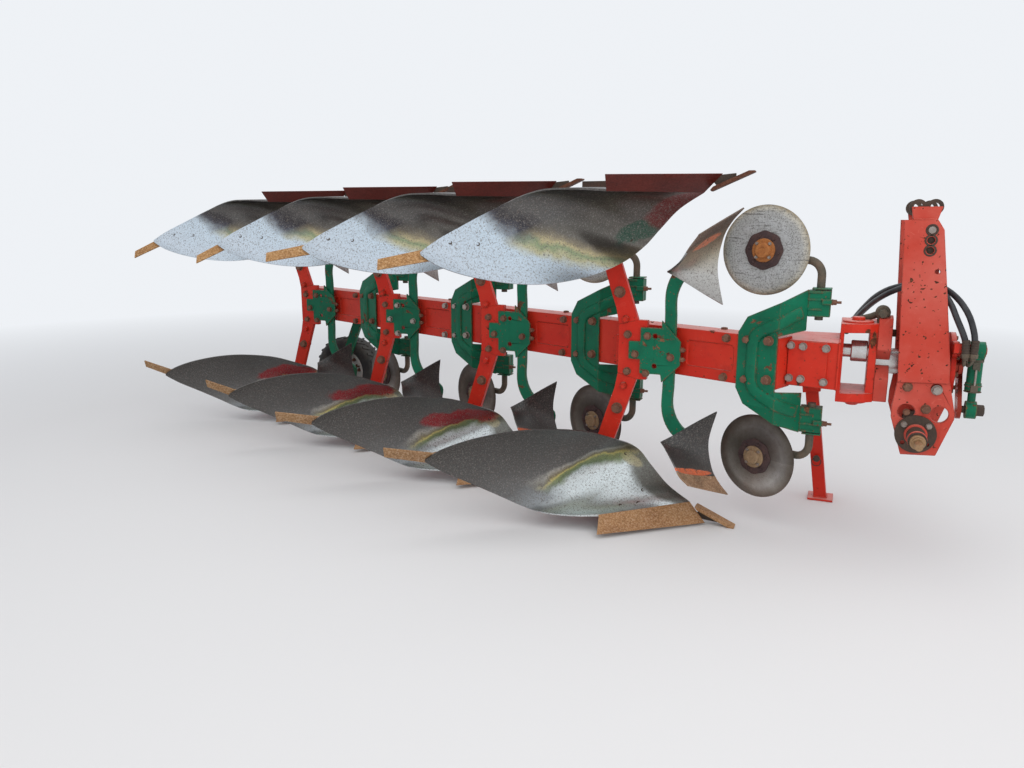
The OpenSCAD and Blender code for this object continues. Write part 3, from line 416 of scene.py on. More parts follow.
lowerBands = {
    "wander": 0.13, "bend": 0.15, "bandSwitch": (0.18, 0.36),
    "scratches": 0.12, "scratch": (0.60, 0.61, 0.62), "nicks": 0.28, "nick": (0.50, 0.47, 0.43),
    "speckles": 0.75, "speckle": (0.11, 0.09, 0.08), "metal": 0.95, "roughFront": 0.27, "roughTail": 0.40,
    "lowStops": [(0.0, (0.60, 0.60, 0.58)), (0.06, brightReflectedSilver), (0.28, brightReflectedSilver),
                 (0.36, (0.38, 0.40, 0.41)), (0.48, (0.17, 0.165, 0.16)), (0.75, (0.125, 0.12, 0.115)),
                 (1.0, (0.10, 0.095, 0.090))],
    "highStops": [(0.0, (0.50, 0.51, 0.52)), (0.08, brightReflectedSilver), (0.37, brightReflectedSilver),
                  (0.40, (0.26, 0.33, 0.17)), (0.42, (0.36, 0.40, 0.17)), (0.433, (0.80, 0.68, 0.24)),
                  (0.447, (0.28, 0.23, 0.13)), (0.475, (0.46, 0.44, 0.39)), (0.495, (0.15, 0.145, 0.14)),
                  (0.72, (0.125, 0.12, 0.115)), (1.0, (0.095, 0.088, 0.082))],
    # the grey-olive patch by the shin is a painted reflection
    "patches": [((0.14, 0.96), (0.17, 0.17), -0.2, 0.8, 0.35, 0.9, (0.16, 0.155, 0.125), 0.0),
                ((0.27, 0.90), (0.030, 0.05), 0.2, 0.8, 0.4, 0.5, (0.70, 0.60, 0.34), 0.0)]}
lowerSheet = scouredSheet("lowerSheet", lowerBands)
rearPatches = [((0.36, 0.86), (0.070, 0.13), 0.25, 1.0, 0.30, 0.95, (0.40, 0.018, 0.026), 0.15),
               ((0.415, 0.70), (0.060, 0.17), 0.30, 1.0, 0.30, 0.9, (0.36, 0.014, 0.022), 0.15)]
lowerRearSheet = scouredSheet("lowerRearSheet", lowerBands | {"patches": lowerBands["patches"] + rearPatches})
lowerSkimSheet = scouredSheet("lowerSkimSheet", lowerBands | {
    "wander": 0.05, "bend": 0.0, "bandSwitch": (0.0, 0.1), "metal": 0.85, "roughFront": 0.40,
    "highStops": [(0.34, (0.26, 0.25, 0.24)), (0.50, (0.17, 0.168, 0.165)), (0.70, (0.11, 0.108, 0.106)),
                  (1.0, (0.060, 0.058, 0.056))],
    "patches": [((0.385, 0.45), (0.055, 0.50), 0.0, 0.9, 0.12, 1.0, (0.78, 0.16, 0.055), 0.8)]})
upperSkimSheet = scouredSheet("upperSkimSheet", lowerBands | {
    "wander": 0.08, "bend": 0.0, "bandSwitch": (0.0, 0.1), "metal": 0.9, "roughFront": 0.36,
    "highStops": [(0.34, (0.34, 0.24, 0.17)), (0.50, (0.55, 0.46, 0.34)), (0.62, (0.68, 0.62, 0.48)),
                  (0.80, (0.66, 0.65, 0.62)), (1.0, (0.46, 0.44, 0.42))],
    "patches": [((0.44, 0.60), (0.06, 0.30), 0.1, 1.0, 0.2, 0.9, (0.72, 0.20, 0.09), 0.7)]})


def scouredDisc(name, finish):
    g = startMaterial(name)
    uv = g.add("UVMap", {"uv_map": "ring"}).outputs["UV"]
    turn, out = g.axes(uv)[:2]
    grooves = g.noise(4, 5, 0.7, at=g.stretched(uv, (1.5, 60, 1)))
    stain = g.noise(finish["stainScale"], 7, 0.7)
    speck = g.noise(finish["speckScale"], 4, 0.8)
    wide = g.plus(out, g.times(g.minus(stain, 0.5, False), 0.18, False), False)
    colour = g.ramp(wide, finish["stops"])
    colour = g.mix(g.times(g.step(grooves, 0.45, 0.7), finish["grooves"]), colour, finish["groove"])
    mottled = g.times(g.step(g.noise(30, 6, 0.75), 0.42, 0.62), finish["mottles"])
    colour = g.mix(mottled, colour, finish["mottle"])
    if "paintedSheen" in finish:  # painted sheen: one side of the disc is lighter, as a reflection would make it
        colour = g.darken(colour, g.ramp(turn, finish["paintedSheen"]))
    specks = g.step(speck, finish["speckLimit"], finish["speckLimit"] + 0.06)
    colour = g.mix(g.times(specks, finish["specks"]), colour, finish["speckle"])
    scrape = g.stretched(g.point, (7, 7, 110), (0, math.radians(38), 0))
    lines = g.times(g.step(g.noise(1.6, 4, 0.6, at=scrape), 0.60, 0.64), finish["lines"])
    colour = g.mix(lines, colour, (0.10, 0.095, 0.09))
    relief = g.plus(g.times(grooves, 0.5), g.times(speck, 0.5))
    return g.shade(
        Base_Color=colour, Metallic=finish["metal"], Normal=g.bump(relief, 0.12, 0.001),
        Roughness=g.between(stain, finish["rough"] - 0.08, finish["rough"] + 0.18))


lowerDiscSteel = scouredDisc("lowerDiscSteel", {
    "stainScale": 9, "speckScale": 110, "speckLimit": 0.58, "specks": 0.5, "speckle": (0.10, 0.075, 0.055),
    "mottles": 0.25, "mottle": (0.14, 0.11, 0.085),
    "grooves": 0.30, "groove": (0.16, 0.145, 0.13), "lines": 0.0, "metal": 0.75, "rough": 0.36,
    # painted sheen: lighter towards the lower right, darker at the upper left
    "paintedSheen": [(0.0, (0.46, 0.45, 0.44)), (0.16, (0.36, 0.34, 0.33)), (0.40, (0.34, 0.30, 0.27)),
              (0.60, (0.46, 0.43, 0.40)), (0.76, (0.96, 0.95, 0.94)), (0.86, (1.0, 1.0, 1.0)),
              (0.96, (0.56, 0.55, 0.54))],
    "stops": [(0.30, (0.20, 0.175, 0.155)), (0.50, (0.34, 0.325, 0.31)), (0.72, (0.52, 0.51, 0.50)),
              (0.88, (0.30, 0.27, 0.24)), (1.0, (0.16, 0.125, 0.10))]})
upperDiscSteel = scouredDisc("upperDiscSteel", {
    "stainScale": 11, "speckScale": 150, "speckLimit": 0.515, "specks": 0.8, "speckle": (0.15, 0.145, 0.135),
    "mottles": 0.40, "mottle": (0.30, 0.30, 0.29),
    "grooves": 0.12, "groove": (0.34, 0.35, 0.35), "lines": 0.8, "metal": 0.35, "rough": 0.52,
    "stops": [(0.30, (0.38, 0.38, 0.375)), (0.60, (0.48, 0.49, 0.50)), (0.84, (0.44, 0.44, 0.43)),
              (0.92, (0.52, 0.49, 0.42)), (1.0, (0.30, 0.23, 0.13))]})
print("steel finishes ready")


# mesh helpers
def roundEdges(piece, width, sharp=40):
    rounded = piece.modifiers.new("roundedEdges", "BEVEL")
    rounded.width = width
    rounded.segments = 2
    rounded.limit_method = "ANGLE"
    rounded.angle_limit = math.radians(sharp)
    rounded.harden_normals = False


def settle(name, mesh, materials, body, bevel, sharp):
    for material in materials:
        mesh.materials.append(material)
    piece = addObject(name, mesh)
    if bevel:
        roundEdges(piece, bevel, sharp)
    mesh.shade_smooth()
    mesh.set_sharp_from_angle(angle=math.radians(sharp))
    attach(piece, body)
    return piece


def finishPiece(name, bm, material, body="frame", bevel=0.0, sharp=35):
    mesh = bpy.data.meshes.new(name)
    bmesh.ops.recalc_face_normals(bm, faces=bm.faces[:])
    bm.to_mesh(mesh)
    bm.free()
    materials = material if isinstance(material, list) else [material]
    return settle(name, mesh, materials, body, bevel, sharp)


def facing(direction, spin=0.0):
    turn = Vector(direction).normalized().to_track_quat("Z", "Y").to_matrix().to_4x4()
    return turn @ Matrix.Rotation(spin, 4, "Z")


def skin(bm, loops, ends=True):
    # quads between one closed row of corners and the next, and lids on the first and the last
    faces = []
    for a, b in zip(loops, loops[1:]):
        for k in range(len(a)):
            after = (k + 1) % len(a)
            faces.append(bm.faces.new((a[k], a[after], b[after], b[k])))
    if ends:
        faces += [bm.faces.new(loops[0][::-1]), bm.faces.new(loops[-1])]
    return faces


def addRings(bm, spot, turn, rings, count, index=0, closed=True):
    # turned shape: rings is a list of (radius, height) from the base outwards
    loops = []
    for radius, height in rings:
        corners = [Vector((x, y, height)) for x, y in circle(0, 0, radius, count)]
        loops.append([bm.verts.new(spot + turn @ corner) for corner in corners])
    for face in skin(bm, loops, closed):
        face.material_index = index


def circle(x, y, radius, count=32):
    angles = [2 * math.pi * k / count for k in range(count)]
    return [(x + radius * math.cos(angle), y + radius * math.sin(angle)) for angle in angles]


def collar(inner, outer, long, edge=0.002, start=0.0):
    # rings of a collar with bevelled ends
    return [(inner, start), (outer, start + edge), (outer, start + long - edge), (inner, start + long)]


# heights and radii of a bolt's parts as shares of its width across flats
boltShape = {
    "washer": 0.10, "head": 0.62, "nut": 0.75, "chamfer": 0.07, "faceLow": 0.36, "faceTop": 0.34,
    "core": 0.27, "crest": 0.295, "root": 0.265}
threadPitch, boltSunk, faceHigh = 0.0026, 0.001, 0.0006


def addBolt(bm, spot, direction, across, spin=0.0, thread=0.0, washer=0.66, index=0):
    # hexagon head or nut with its washer; thread is how far the bolt's end stands out of a nut
    spot = Vector(spot)
    turn = facing(direction, spin)
    part = {key: value * across for key, value in boltShape.items()}
    base = 0.0
    if washer:
        wide = across * washer
        base = part["washer"]
        rings = [(wide, -boltSunk), (wide, base * 0.7), (wide - base * 0.3, base)]
        addRings(bm, spot, turn, rings, 20, index)
    corner = across / math.sqrt(3)
    high = base + part["nut" if thread else "head"]
    hexagon = [(corner, base), (corner, high - part["chamfer"]), (corner * 0.86, high)]
    addRings(bm, spot, turn, hexagon, 6, index)
    face = [(part["faceLow"], high - boltSunk), (part["faceTop"], high + faceHigh)]
    addRings(bm, spot, turn, face, 12, index)
    if thread:
        rings = [(part["core"], high - boltSunk)]
        for k in range(int(thread / threadPitch)):
            start = high + threadPitch * k
            rings += [(part["crest"], start + threadPitch / 2), (part["root"], start + threadPitch)]
        addRings(bm, spot, turn, rings, 12, index)


def addBox(bm, corner, size, turn=None):
    corner, size = Vector(corner), Vector(size)
    points = []
    for k in range(8):
        p = Vector((size.x * (k & 1), size.y * (k >> 1 & 1), size.z * (k >> 2 & 1)))
        points.append(bm.verts.new(corner + (turn @ p if turn else p)))
    for loop in ((0, 2, 3, 1), (4, 5, 7, 6), (0, 1, 5, 4), (2, 6, 7, 3), (0, 4, 6, 2), (1, 3, 7, 5)):
        bm.faces.new([points[k] for k in loop])


def addTube(bm, path, radius, count=12):
    # round bar or hose along a path; radius is one number or one for each point
    path = [Vector(p) for p in path]
    loops = []
    across = path[1] - path[0]
    across = across.normalized().orthogonal().normalized()
    for k, p in enumerate(path):
        ahead = (path[min(k + 1, len(path) - 1)] - path[max(k - 1, 0)]).normalized()
        across = (across - ahead * across.dot(ahead)).normalized()
        up = ahead.cross(across)
        r = radius[k] if isinstance(radius, list) else radius
        loops.append([bm.verts.new(p + across * x + up * y) for x, y in circle(0, 0, r, count)])
    skin(bm, loops)


def addWeld(bm, start, end, size, seed=1):
    # a run of overlapping ripples
    start, end = Vector(start), Vector(end)
    steps = max(4, int((end - start).length / 0.005))
    pick = random.Random(seed)
    path = []
    for k in range(steps + 1):
        shake = Vector([(pick.random() - 0.5) * size * 0.2 for _ in range(3)])
        path.append(start.lerp(end, k / steps) + shake)
    addTube(bm, path, [size * (0.8 + 0.3 * (k % 2)) for k in range(steps + 1)], 8)


def addPlate(name, outline, holes, thick, spot, turn, material, body="frame", rounding=0.0015):
    # flat plate with holes and rounded edges; outline and holes are in the plate's own plane
    curve = bpy.data.curves.new(name, "CURVE")
    curve.dimensions = "2D"
    curve.fill_mode = "BOTH"
    curve.extrude = thick / 2 - rounding
    curve.bevel_depth = rounding
    curve.bevel_resolution = 1
    for loop in [outline] + holes:
        line = curve.splines.new("POLY")
        line.points.add(len(loop) - 1)
        for point, (x, y) in zip(line.points, loop):
            point.co = (x, y, 0, 1)
        line.use_cyclic_u = True
    flat = bpy.data.objects.new(name, curve)
    mesh = bpy.data.meshes.new_from_object(flat)
    bpy.data.objects.remove(flat)
    mesh.transform(Matrix.Translation(spot) @ turn)
    mesh.materials.clear()
    return settle(name, mesh, [material], body, 0.0, 50)


def splineAt(points, u):
    last = len(points) - 1
    k = min(int(u * last), last - 1)
    f = u * last - k
    near = [points[min(max(k + j, 0), last)] for j in (-1, 0, 1, 2)]
    a, b, c, d = near if isinstance(points[0], (int, float)) else [Vector(p) for p in near]
    return b + ((c - a) / 2 + ((2 * a - 5 * b + 4 * c - d) / 2 + (3 * b - a - 3 * c + d) / 2 * f) * f) * f


def splineRun(points, steps):
    return [splineAt(points, k / steps) for k in range(steps + 1)]


# hydraulic hoses, from their holder over the headstock and down to the turnover cylinder, in millimetres
hoses = {
    "runs": {
        "hose_a": [(420, 405, 905), (440, 360, 945), (468, 290, 990), (510, 200, 1045), (560, 120, 1090),
                   (620, 64, 1122), (690, 40, 1130), (748, 18, 1112), (784, -12, 1066), (808, -50, 1010),
                   (830, -74, 960), (844, -78, 920), (848, -78, 880)],
        "hose_b": [(420, 440, 905), (440, 400, 950), (470, 330, 1002), (512, 240, 1062), (562, 160, 1104),
                   (622, 106, 1126), (690, 84, 1130), (752, 52, 1126), (806, -2, 1088), (846, -52, 1030),
                   (870, -74, 960), (876, -78, 910), (876, -78, 880)]},
    "radius": 0.0118, "ferrule": 0.0150, "ferruleLong": 0.052, "steps": 38,
    "holder": [(612, 272, 902), (585, 320, 906), (540, 362, 908), (480, 405, 906), (432, 428, 899),
               (414, 440, 893)], "holderRadius": 0.008}


def addFitting(bm, spot, inwards, isStart):
    # crimped sleeve, then the union nut and stub behind it, and a coupler with its collar at the start
    turn = facing(inwards)
    r, long = hoses["ferrule"], hoses["ferruleLong"]
    crimps = [(0.0122, -0.004), (r, 0.0)]
    for k in range(4):
        high = 0.006 + k * long / 5
        crimps += [(r, high), (r - 0.0011, high + 0.0015), (r - 0.0011, high + 0.004), (r, high + 0.0055)]
    crimps += [(r, long - 0.004), (0.0128, long)]
    addRings(bm, spot, turn, crimps, 20, 1)
    addRings(bm, spot - inwards * 0.020, turn, collar(0.0150, 0.0168, 0.018), 6)
    reach = 0.052 if isStart else 0.030
    stub = [(0.008, 0), (0.0105, 0.002), (0.0105, reach - 0.018)]
    addRings(bm, spot - inwards * reach, turn, stub, 16)
    if isStart:
        addRings(bm, spot - inwards * 0.046, turn, collar(0.0125, 0.0145, 0.012), 18)


for node, run in hoses["runs"].items():
    path = [place(*(p / 1000)) for p in splineRun(run, hoses["steps"])]
    bm = bmesh.new()
    addTube(bm, path, hoses["radius"], 20)
    hose = finishPiece(node.replace("_a", "Near").replace("_b", "Far"), bm, hoseRubber, "headstock")
    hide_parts(node)
    bm = bmesh.new()
    addFitting(bm, path[0], (path[1] - path[0]).normalized(), True)
    addFitting(bm, path[-1], (path[-2] - path[-1]).normalized(), False)
    fittings = finishPiece(hose.name + "Fittings", bm, [stemIron, darkIron], "headstock", sharp=40)
bm = bmesh.new()
addTube(bm, [place(*(p / 1000)) for p in splineRun(hoses["holder"], 24)], hoses["holderRadius"])
addBox(bm, place(0.596, 0.262, 0.886), (0.034, 0.014, 0.032))
finishPiece("hoseHolder", bm, darkIron, "headstock", bevel=0.001)
print("hoses and their holder done")

# moldboards and skimmer boards, in millimetres from the tip of the share
sheetShape = {
    "shin": [(-212, -8, 88), (-318, -9, 158), (-400, -12, 246), (-470, -18, 325), (-535, -150, 392),
             (-650, -262, 446), (-795, -400, 474), (-930, -488, 470), (-1080, -572, 440), (-1198, -632, 396),
             (-1272, -654, 350)],
    "edge": [(-560, -339, 88), (-655, -368, 82), (-740, -386, 80), (-822, -398, 84), (-905, -414, 104),
             (-990, -440, 142), (-1070, -482, 186), (-1140, -536, 232), (-1205, -590, 276),
             (-1248, -628, 312), (-1276, -652, 338)],
    "hollow": [0, 0.75, 1.1, 1.25, 1.1, 0.95, 0.75, 0.5, 0.3, 0.12, 0],
    "sag": 0.046, "thick": 0.009, "along": 96, "across": 30,
    "boltHoles": [(0.12, 0.78), (0.07, 0.60), (0.09, 0.46), (0.30, 0.90)],
    "tailHoles": [(0.78, 0.16), (0.69, 0.30)], "bevel": 0.0018}
skimShape = {
    "shin": [(-35, -30, 156), (-84, -30, 214), (-116, -44, 287), (-128, -76, 412), (-90, -126, 562)],
    "edge": [(-172, -300, 262), (-200, -350, 318), (-236, -330, 372), (-285, -262, 408), (-320, -216, 424)],
    "hollow": [0, 0.4, 0.55, 0.4, 0.1], "sag": 0.030, "thick": 0.007, "split": 0.34,
    "along": 36, "across": 18, "boltHoles": [(0.40, 0.30), (0.40, 0.62)], "bevel": 0.0012}
countersunk = [(0.0090, -0.002), (0.0090, -0.0002), (0.0082, 0.0003), (0.0050, 0.0005), (0.0045, -0.0004)]


def sheetPoint(shape, u, v, depth=0.0):
    # the point and the outward normal of a board's face, as in the part's own source
    def raw(s, t):
        outer, inner = splineAt(shape["edge"], s), splineAt(shape["shin"], s)
        return (outer + (inner - outer) * t) / 1000
    alongWay = raw(min(u + 0.004, 1), v) - raw(max(u - 0.004, 0), v)
    acrossWay = raw(u, 1) - raw(u, 0)
    normal = acrossWay.cross(alongWay).normalized()
    hollow = 4 * v * (1 - v) * shape["sag"] * splineAt(shape["hollow"], u)
    return raw(u, v) - normal * (hollow + depth), normal


def addSheet(bm, shape, put, low, index):
    # both faces of a board and its rim, from a share of its length onwards
    layer = bm.loops.layers.uv.get("sheet") or bm.loops.layers.uv.new("sheet")
    m, n = shape["along"], shape["across"]
    sides = []
    where = {}
    for depth in (0.0, shape["thick"]):
        rows = []
        for i in range(m + 1):
            u = low + (1 - low) * i / m
            row = [bm.verts.new(put(sheetPoint(shape, u, j / n, depth)[0])) for j in range(n + 1)]
            where.update({vert: (u, j / n) for j, vert in enumerate(row)})
            rows.append(row)
        sides.append(rows)
    faces = []
    for rows in sides:
        for i in range(m):
            for j in range(n):
                corners = (rows[i][j], rows[i + 1][j], rows[i + 1][j + 1], rows[i][j + 1])
                faces.append(bm.faces.new(corners))
    rim = [(i, 0) for i in range(m)] + [(m, j) for j in range(n)]
    rim += [(i, n) for i in range(m, 0, -1)] + [(0, j) for j in range(n, 0, -1)]
    faces += skin(bm, [[rows[i][j] for i, j in rim] for rows in sides], False)
    for face in faces:
        face.material_index = index
        for loop in face.loops:
            loop[layer].uv = where[loop.vert]


def addBoards(name, node, shape, sheets, flip, screws):
    # one board on each body, with countersunk bolts nearly flush with it
    bm, bolts = bmesh.new(), bmesh.new()
    for i in bodies:
        put = onUnit(i, flip)
        addSheet(bm, shape, put, shape.get("split", 0.0), index=min(i, len(sheets) - 1))
        for u, v in shape["boltHoles"] + (shape.get("tailHoles", []) if flip else []):
            spot, normal = sheetPoint(shape, u, v)
            addRings(bolts, put(spot), facing(put(spot + normal) - put(spot)), countersunk, 18)
    piece = finishPiece(name, bm, sheets, bevel=shape["bevel"], sharp=50)
    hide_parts(node)
    finishPiece(name + "Bolts", bolts, screws)


addBoards("lowerMoldboards", "moldboards_lower", sheetShape, [lowerSheet, lowerRearSheet], False, darkIron)
addBoards("upperMoldboards", "moldboards_upper", sheetShape, [upperSheet], True, darkIron)
addBoards("lowerSkimmers", "skimmer_boards_lower", skimShape, [lowerSkimSheet], False, boltRust)
addBoards("upperSkimmers", "skimmer_boards_upper", skimShape, [upperSkimSheet], True, boltRust)
print("moldboards and skimmers done")

# skimmer bars: the flat bar's bends are rounded; its edges are (x, z) in millimetres
barShape = {
    "rear": [(-360, 800), (-360, 640), (-360, 520), (-326, 432), (-250, 356), (-214, 300)],
    "front": [(-310, 800), (-310, 650), (-310, 536), (-262, 446), (-150, 372), (-150, 300)],
    "steps": 22, "thick": 0.020, "middle": -0.0097}
rear, ahead = [splineRun(barShape[side], barShape["steps"]) for side in ("rear", "front")]
lowerHalf = [(p.x / 1000, p.y / 1000) for p in rear + ahead[::-1]]
outline = lowerHalf[1:-1] + [(x, 2 * axisHeight - z) for x, z in reversed(lowerHalf[1:-1])]
upright = Matrix(((1, 0, 0), (0, 0, 1), (0, -1, 0))).transposed().to_4x4()
for i in bodies:
    spot = onUnit(i)((0, barShape["middle"], 0))
    bar = addPlate("skimmerBar%d" % (i + 1), outline, [], barShape["thick"], spot, upright, greenPaint,
                   rounding=0.002)
    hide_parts("skimmer_bars")
print("skimmer bars done")

# coulter discs, each on its own bearing; profiles are (radius, height)
discShape = {
    "centre": Vector((0.058, -0.078, 0.333)), "stem": Vector((0.295, -0.035, 0)), "low": -27, "up": -16,
    "radius": 0.193, "count": 96,
    "blade": [(0.058, 0.0025), (0.085, 0.0026), (0.120, 0.0026), (0.150, 0.0022), (0.165, 0.0010),
              (0.178, -0.0030), (0.188, -0.0070), (0.193, -0.0100), (0.1925, -0.0108), (0.187, -0.0105),
              (0.171, -0.0060), (0.150, -0.0028), (0.060, -0.0025), (0.036, -0.0035), (0.034, -0.0140),
              (0.012, -0.0140)],
    "flange": [(0.082, 0.0020), (0.082, 0.0062), (0.0795, 0.0078), (0.062, 0.0092), (0.050, 0.0098)],
    "lobes": 0.0022,
    "cap": [(0.051, 0.0085), (0.0505, 0.0135), (0.0480, 0.0160), (0.0340, 0.0175), (0.0325, 0.0260),
            (0.0290, 0.0300), (0.0160, 0.0315), (0.0140, 0.0295), (0.0070, 0.0295)],
    # count, ring radius, height, width across flats, first angle and material of each ring of bolts
    "boltRings": [(4, 0.0410, 0.0165, 0.011, 45, 3), (6, 0.064, 0.0085, 0.012, 10, 1)]}


def onDisc(i, flip):
    # from the disc's own frame, its face towards +z, to its place on the stem
    swing = Matrix.Rotation(math.radians(discShape["up" if flip else "low"]), 3, "Z")
    unit = onUnit(i, flip)

    def put(p):
        q = Vector((p[0], -p[2], p[1])) + discShape["centre"]
        return unit(swing @ (q - discShape["stem"]) + discShape["stem"])
    return put


def latheInto(bm, put, profile, count, index=0, lid=False, lobes=0.0):
    # lobes is how far a scalloped rim goes in and out, eight times round
    layer = bm.loops.layers.uv.get("ring") or bm.loops.layers.uv.new("ring")
    loops = []
    for radius, height in profile:
        loop = []
        for k in range(count):
            angle = 2 * math.pi * k / count
            r = radius + lobes * math.cos(8 * angle)
            loop.append(bm.verts.new(put((r * math.cos(angle), r * math.sin(angle), height))))
        loops.append(loop)
    for row in range(len(loops) - 1):
        for k in range(count):
            corners = [(row, k), (row, k + 1), (row + 1, k + 1), (row + 1, k)]
            face = bm.faces.new([loops[a][b % count] for a, b in corners])
            face.material_index = index
            for loop, (a, b) in zip(face.loops, corners):
                loop[layer].uv = (b / count, profile[a][0] / discShape["radius"])
    if lid:
        bm.faces.new(loops[-1]).material_index = index


for flip in (False, True):
    metals = [upperDiscSteel if flip else lowerDiscSteel, hubRust, capOrange if flip else capBronze, zincBolt]
    for i in bodies:
        put = onDisc(i, flip)
        bm = bmesh.new()
        latheInto(bm, put, discShape["blade"], discShape["count"])
        latheInto(bm, put, discShape["flange"], 64, 1, lobes=discShape["lobes"])
        latheInto(bm, put, discShape["cap"], 40, 2, True)
        out = put((0, 0, 1)) - put((0, 0, 0))
        for count, ring, height, across, first, metal in discShape["boltRings"]:
            for k in range(count):
                angle = math.radians(first + 360 / count * k)
                spot = put((ring * math.cos(angle), ring * math.sin(angle), height))
                addBolt(bm, spot, out, across, angle, index=metal)
        side = "upper" if flip else "lower"
        name = "disc_%s_%d" % (side, i + 1)
        disc = finishPiece("coulterDisc%s%d" % (side.capitalize(), i + 1), bm, metals, name, sharp=32)
        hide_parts(name)
print("discs done")


# carried nodes: their solids stay, with finished edges and their own paint
def joinCorners(node):
    joined = node.modifiers.new("joined", "WELD")
    joined.merge_threshold = 0.00001


def dressNode(name, material, edge):
    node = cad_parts[name]
    node.data.materials.clear()
    node.data.materials.append(material)
    if edge:
        joinCorners(node)
        roundEdges(node, edge)


nodeFinish = [
    (redPaint, 0.005, "beam"),
    (redPaint, 0.0025, "legs leg_centres leg_carriers front_box swing_casting stand_leg stand_sleeve frogs"
                       " front_flange"),
    (fadedGlaredRedPaint, 0.0025, "tower_plates link_lugs top_bracket"),
    (fadedGlaredRedPaint, 0.0, "tower_cross"),
    (redPaint, 0.0, "frog_ribs"),
    (greenPaint, 0.0025, "setting_plates coulter_brackets coulter_clamps wheel_bracket wheel_arm"),
    (greenPaint, 0.0015, "cylinder_barrel cylinder_rod"),
    (lowerShareRust, 0.0012, "shares_lower"),
    (upperShareRust, 0.0012, "shares_upper"),
    (pointRust, 0.002, "points"),
    (tailRust, 0.002, "tailpieces"),
    (skimmerRust, 0.001, "skimmer_shares"),
    (darkIron, 0.0015, "landsides hitch_stubs"),
    (darkIron, 0.0, "skimmer_brackets top_rings"),
    (stemIron, 0.0, "coulter_stems"),
    (bareRod, 0.0, "turnover_shaft"),
    (pinBrass, 0.001, "hitch_pins")]
for material, edge, names in nodeFinish:
    for name in names.split():
        dressNode(name, material, edge)
joinCorners(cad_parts["top_rings"])
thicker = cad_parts["top_rings"].modifiers.new("thicker", "DISPLACE")
thicker.strength = 0.003
thicker.mid_level = 0.0
print("carried nodes dressed")

# fasteners of each body: (x, z) on its leg, and widths across flats
leg = {
    "big": [(-0.577, 1.067), (-0.576, 0.513)], "bigAcross": 0.038, "bigWasher": 0.72,
    "others": [(-0.544, 0.942), (-0.547, 0.626), (-0.533, 0.871), (-0.532, 0.696)], "across": 0.029,
    "plateBolts": [(-0.493, 0.782), (-0.437, 0.870), (-0.440, 0.694), (-0.327, 0.776)], "plateAcross": 0.027,
    "edgeBolts": [(-0.283, 0.812), (-0.283, 0.768)], "edgeAcross": 0.020,
    "right": -0.020, "left": 0.010, "plate": -0.032, "edge": -0.024, "painted": 0.12}
beamFasteners = [(-0.073, -0.076, 0.887), (-0.079, -0.073, 0.712)]
bracketFasteners = [(0.018, -0.127, 0.893), (0.112, -0.165, 0.897), (0.018, -0.127, 0.720),
                    (0.112, -0.165, 0.730)]
farNuts = [(0.020, 0.89), (0.112, 0.89), (0.020, 0.72), (0.112, 0.72), (-0.480, 0.87), (-0.480, 0.73)]
# on both coulters and skimmers: clamp screw with its nut, pinch screw forward of the clamp's block,
# and the bolt of the skimmer bar through its board
coulterFasteners = [
    ((0.323, -0.003, 0.536), (0, 1, 0), 0.021, 0.014), ((0.345, -0.070, 0.540), (1, 0, 0), 0.020, 0.020),
    ((-0.182, -0.020, 0.336), (0, -1, 0), 0.022, 0.0)]
rusty, zinc, painted = bmesh.new(), bmesh.new(), bmesh.new()
pick = random.Random(7)


def fasten(bm, spot, direction, across, **more):
    addBolt(bm, spot, direction, across, pick.random(), **more)


def onBeam(x, z, forward=0.106):
    # a point of the beam's right face
    return Vector((x, -forward - math.tan(layout["turn"]) * x, z))


for i in bodies:
    put = onUnit(i)
    right, left = (0, -1, 0), (0, 1, 0)
    for x, z in leg["big"]:
        fasten(rusty, put((x, leg["right"], z)), right, leg["bigAcross"],
               washer=leg["bigWasher"])
        fasten(rusty, put((x, leg["left"], z)), left, leg["bigAcross"], thread=0.012)
    for x, z in leg["others"]:
        outer = abs(z - axisHeight) > leg["painted"]  # the outer pair is painted over
        fasten(painted if outer else rusty, put((x, leg["right"], z)), right, leg["across"])
        fasten(rusty, put((x, leg["left"], z)), left, leg["across"], thread=0.010)
    metal = zinc if i == 2 else rusty  # this body's fasteners have been renewed
    for x, z in leg["plateBolts"]:
        fasten(metal, put((x, leg["plate"], z)), right, leg["plateAcross"])
    for x, z in leg["edgeBolts"]:
        fasten(rusty, put((x, leg["edge"], z)), (1, 0, 0), leg["edgeAcross"], thread=0.006)
    for spot in beamFasteners:
        fasten(metal, put(spot), beamOut, 0.029)
    for k, spot in enumerate(bracketFasteners):
        fasten(metal, put(spot), beamOut, 0.032 if k % 2 else 0.027)
    # plug in the beam's top, and nuts on the beam's far side
    fasten(rusty, put((-0.102, 0.040, 0.900)), (0, 0, 1), 0.026, washer=0.85)
    for x, z in farNuts:
        fasten(rusty, put(onBeam(x, z, 0.105) - beamOut * 0.1203), -beamOut, 0.027, thread=0.012)
    for flip in (False, True):
        for spot, direction, across, thread in coulterFasteners:
            fasten(rusty, onUnit(i, flip)(spot), direction, across, thread=thread)
finishPiece("bodyFasteners", rusty, boltRust, sharp=30)
finishPiece("paleBodyFasteners", zinc, zincBolt, sharp=30)
finishPiece("paintedBodyFasteners", painted, redPaint, sharp=30)
print("body fasteners done")

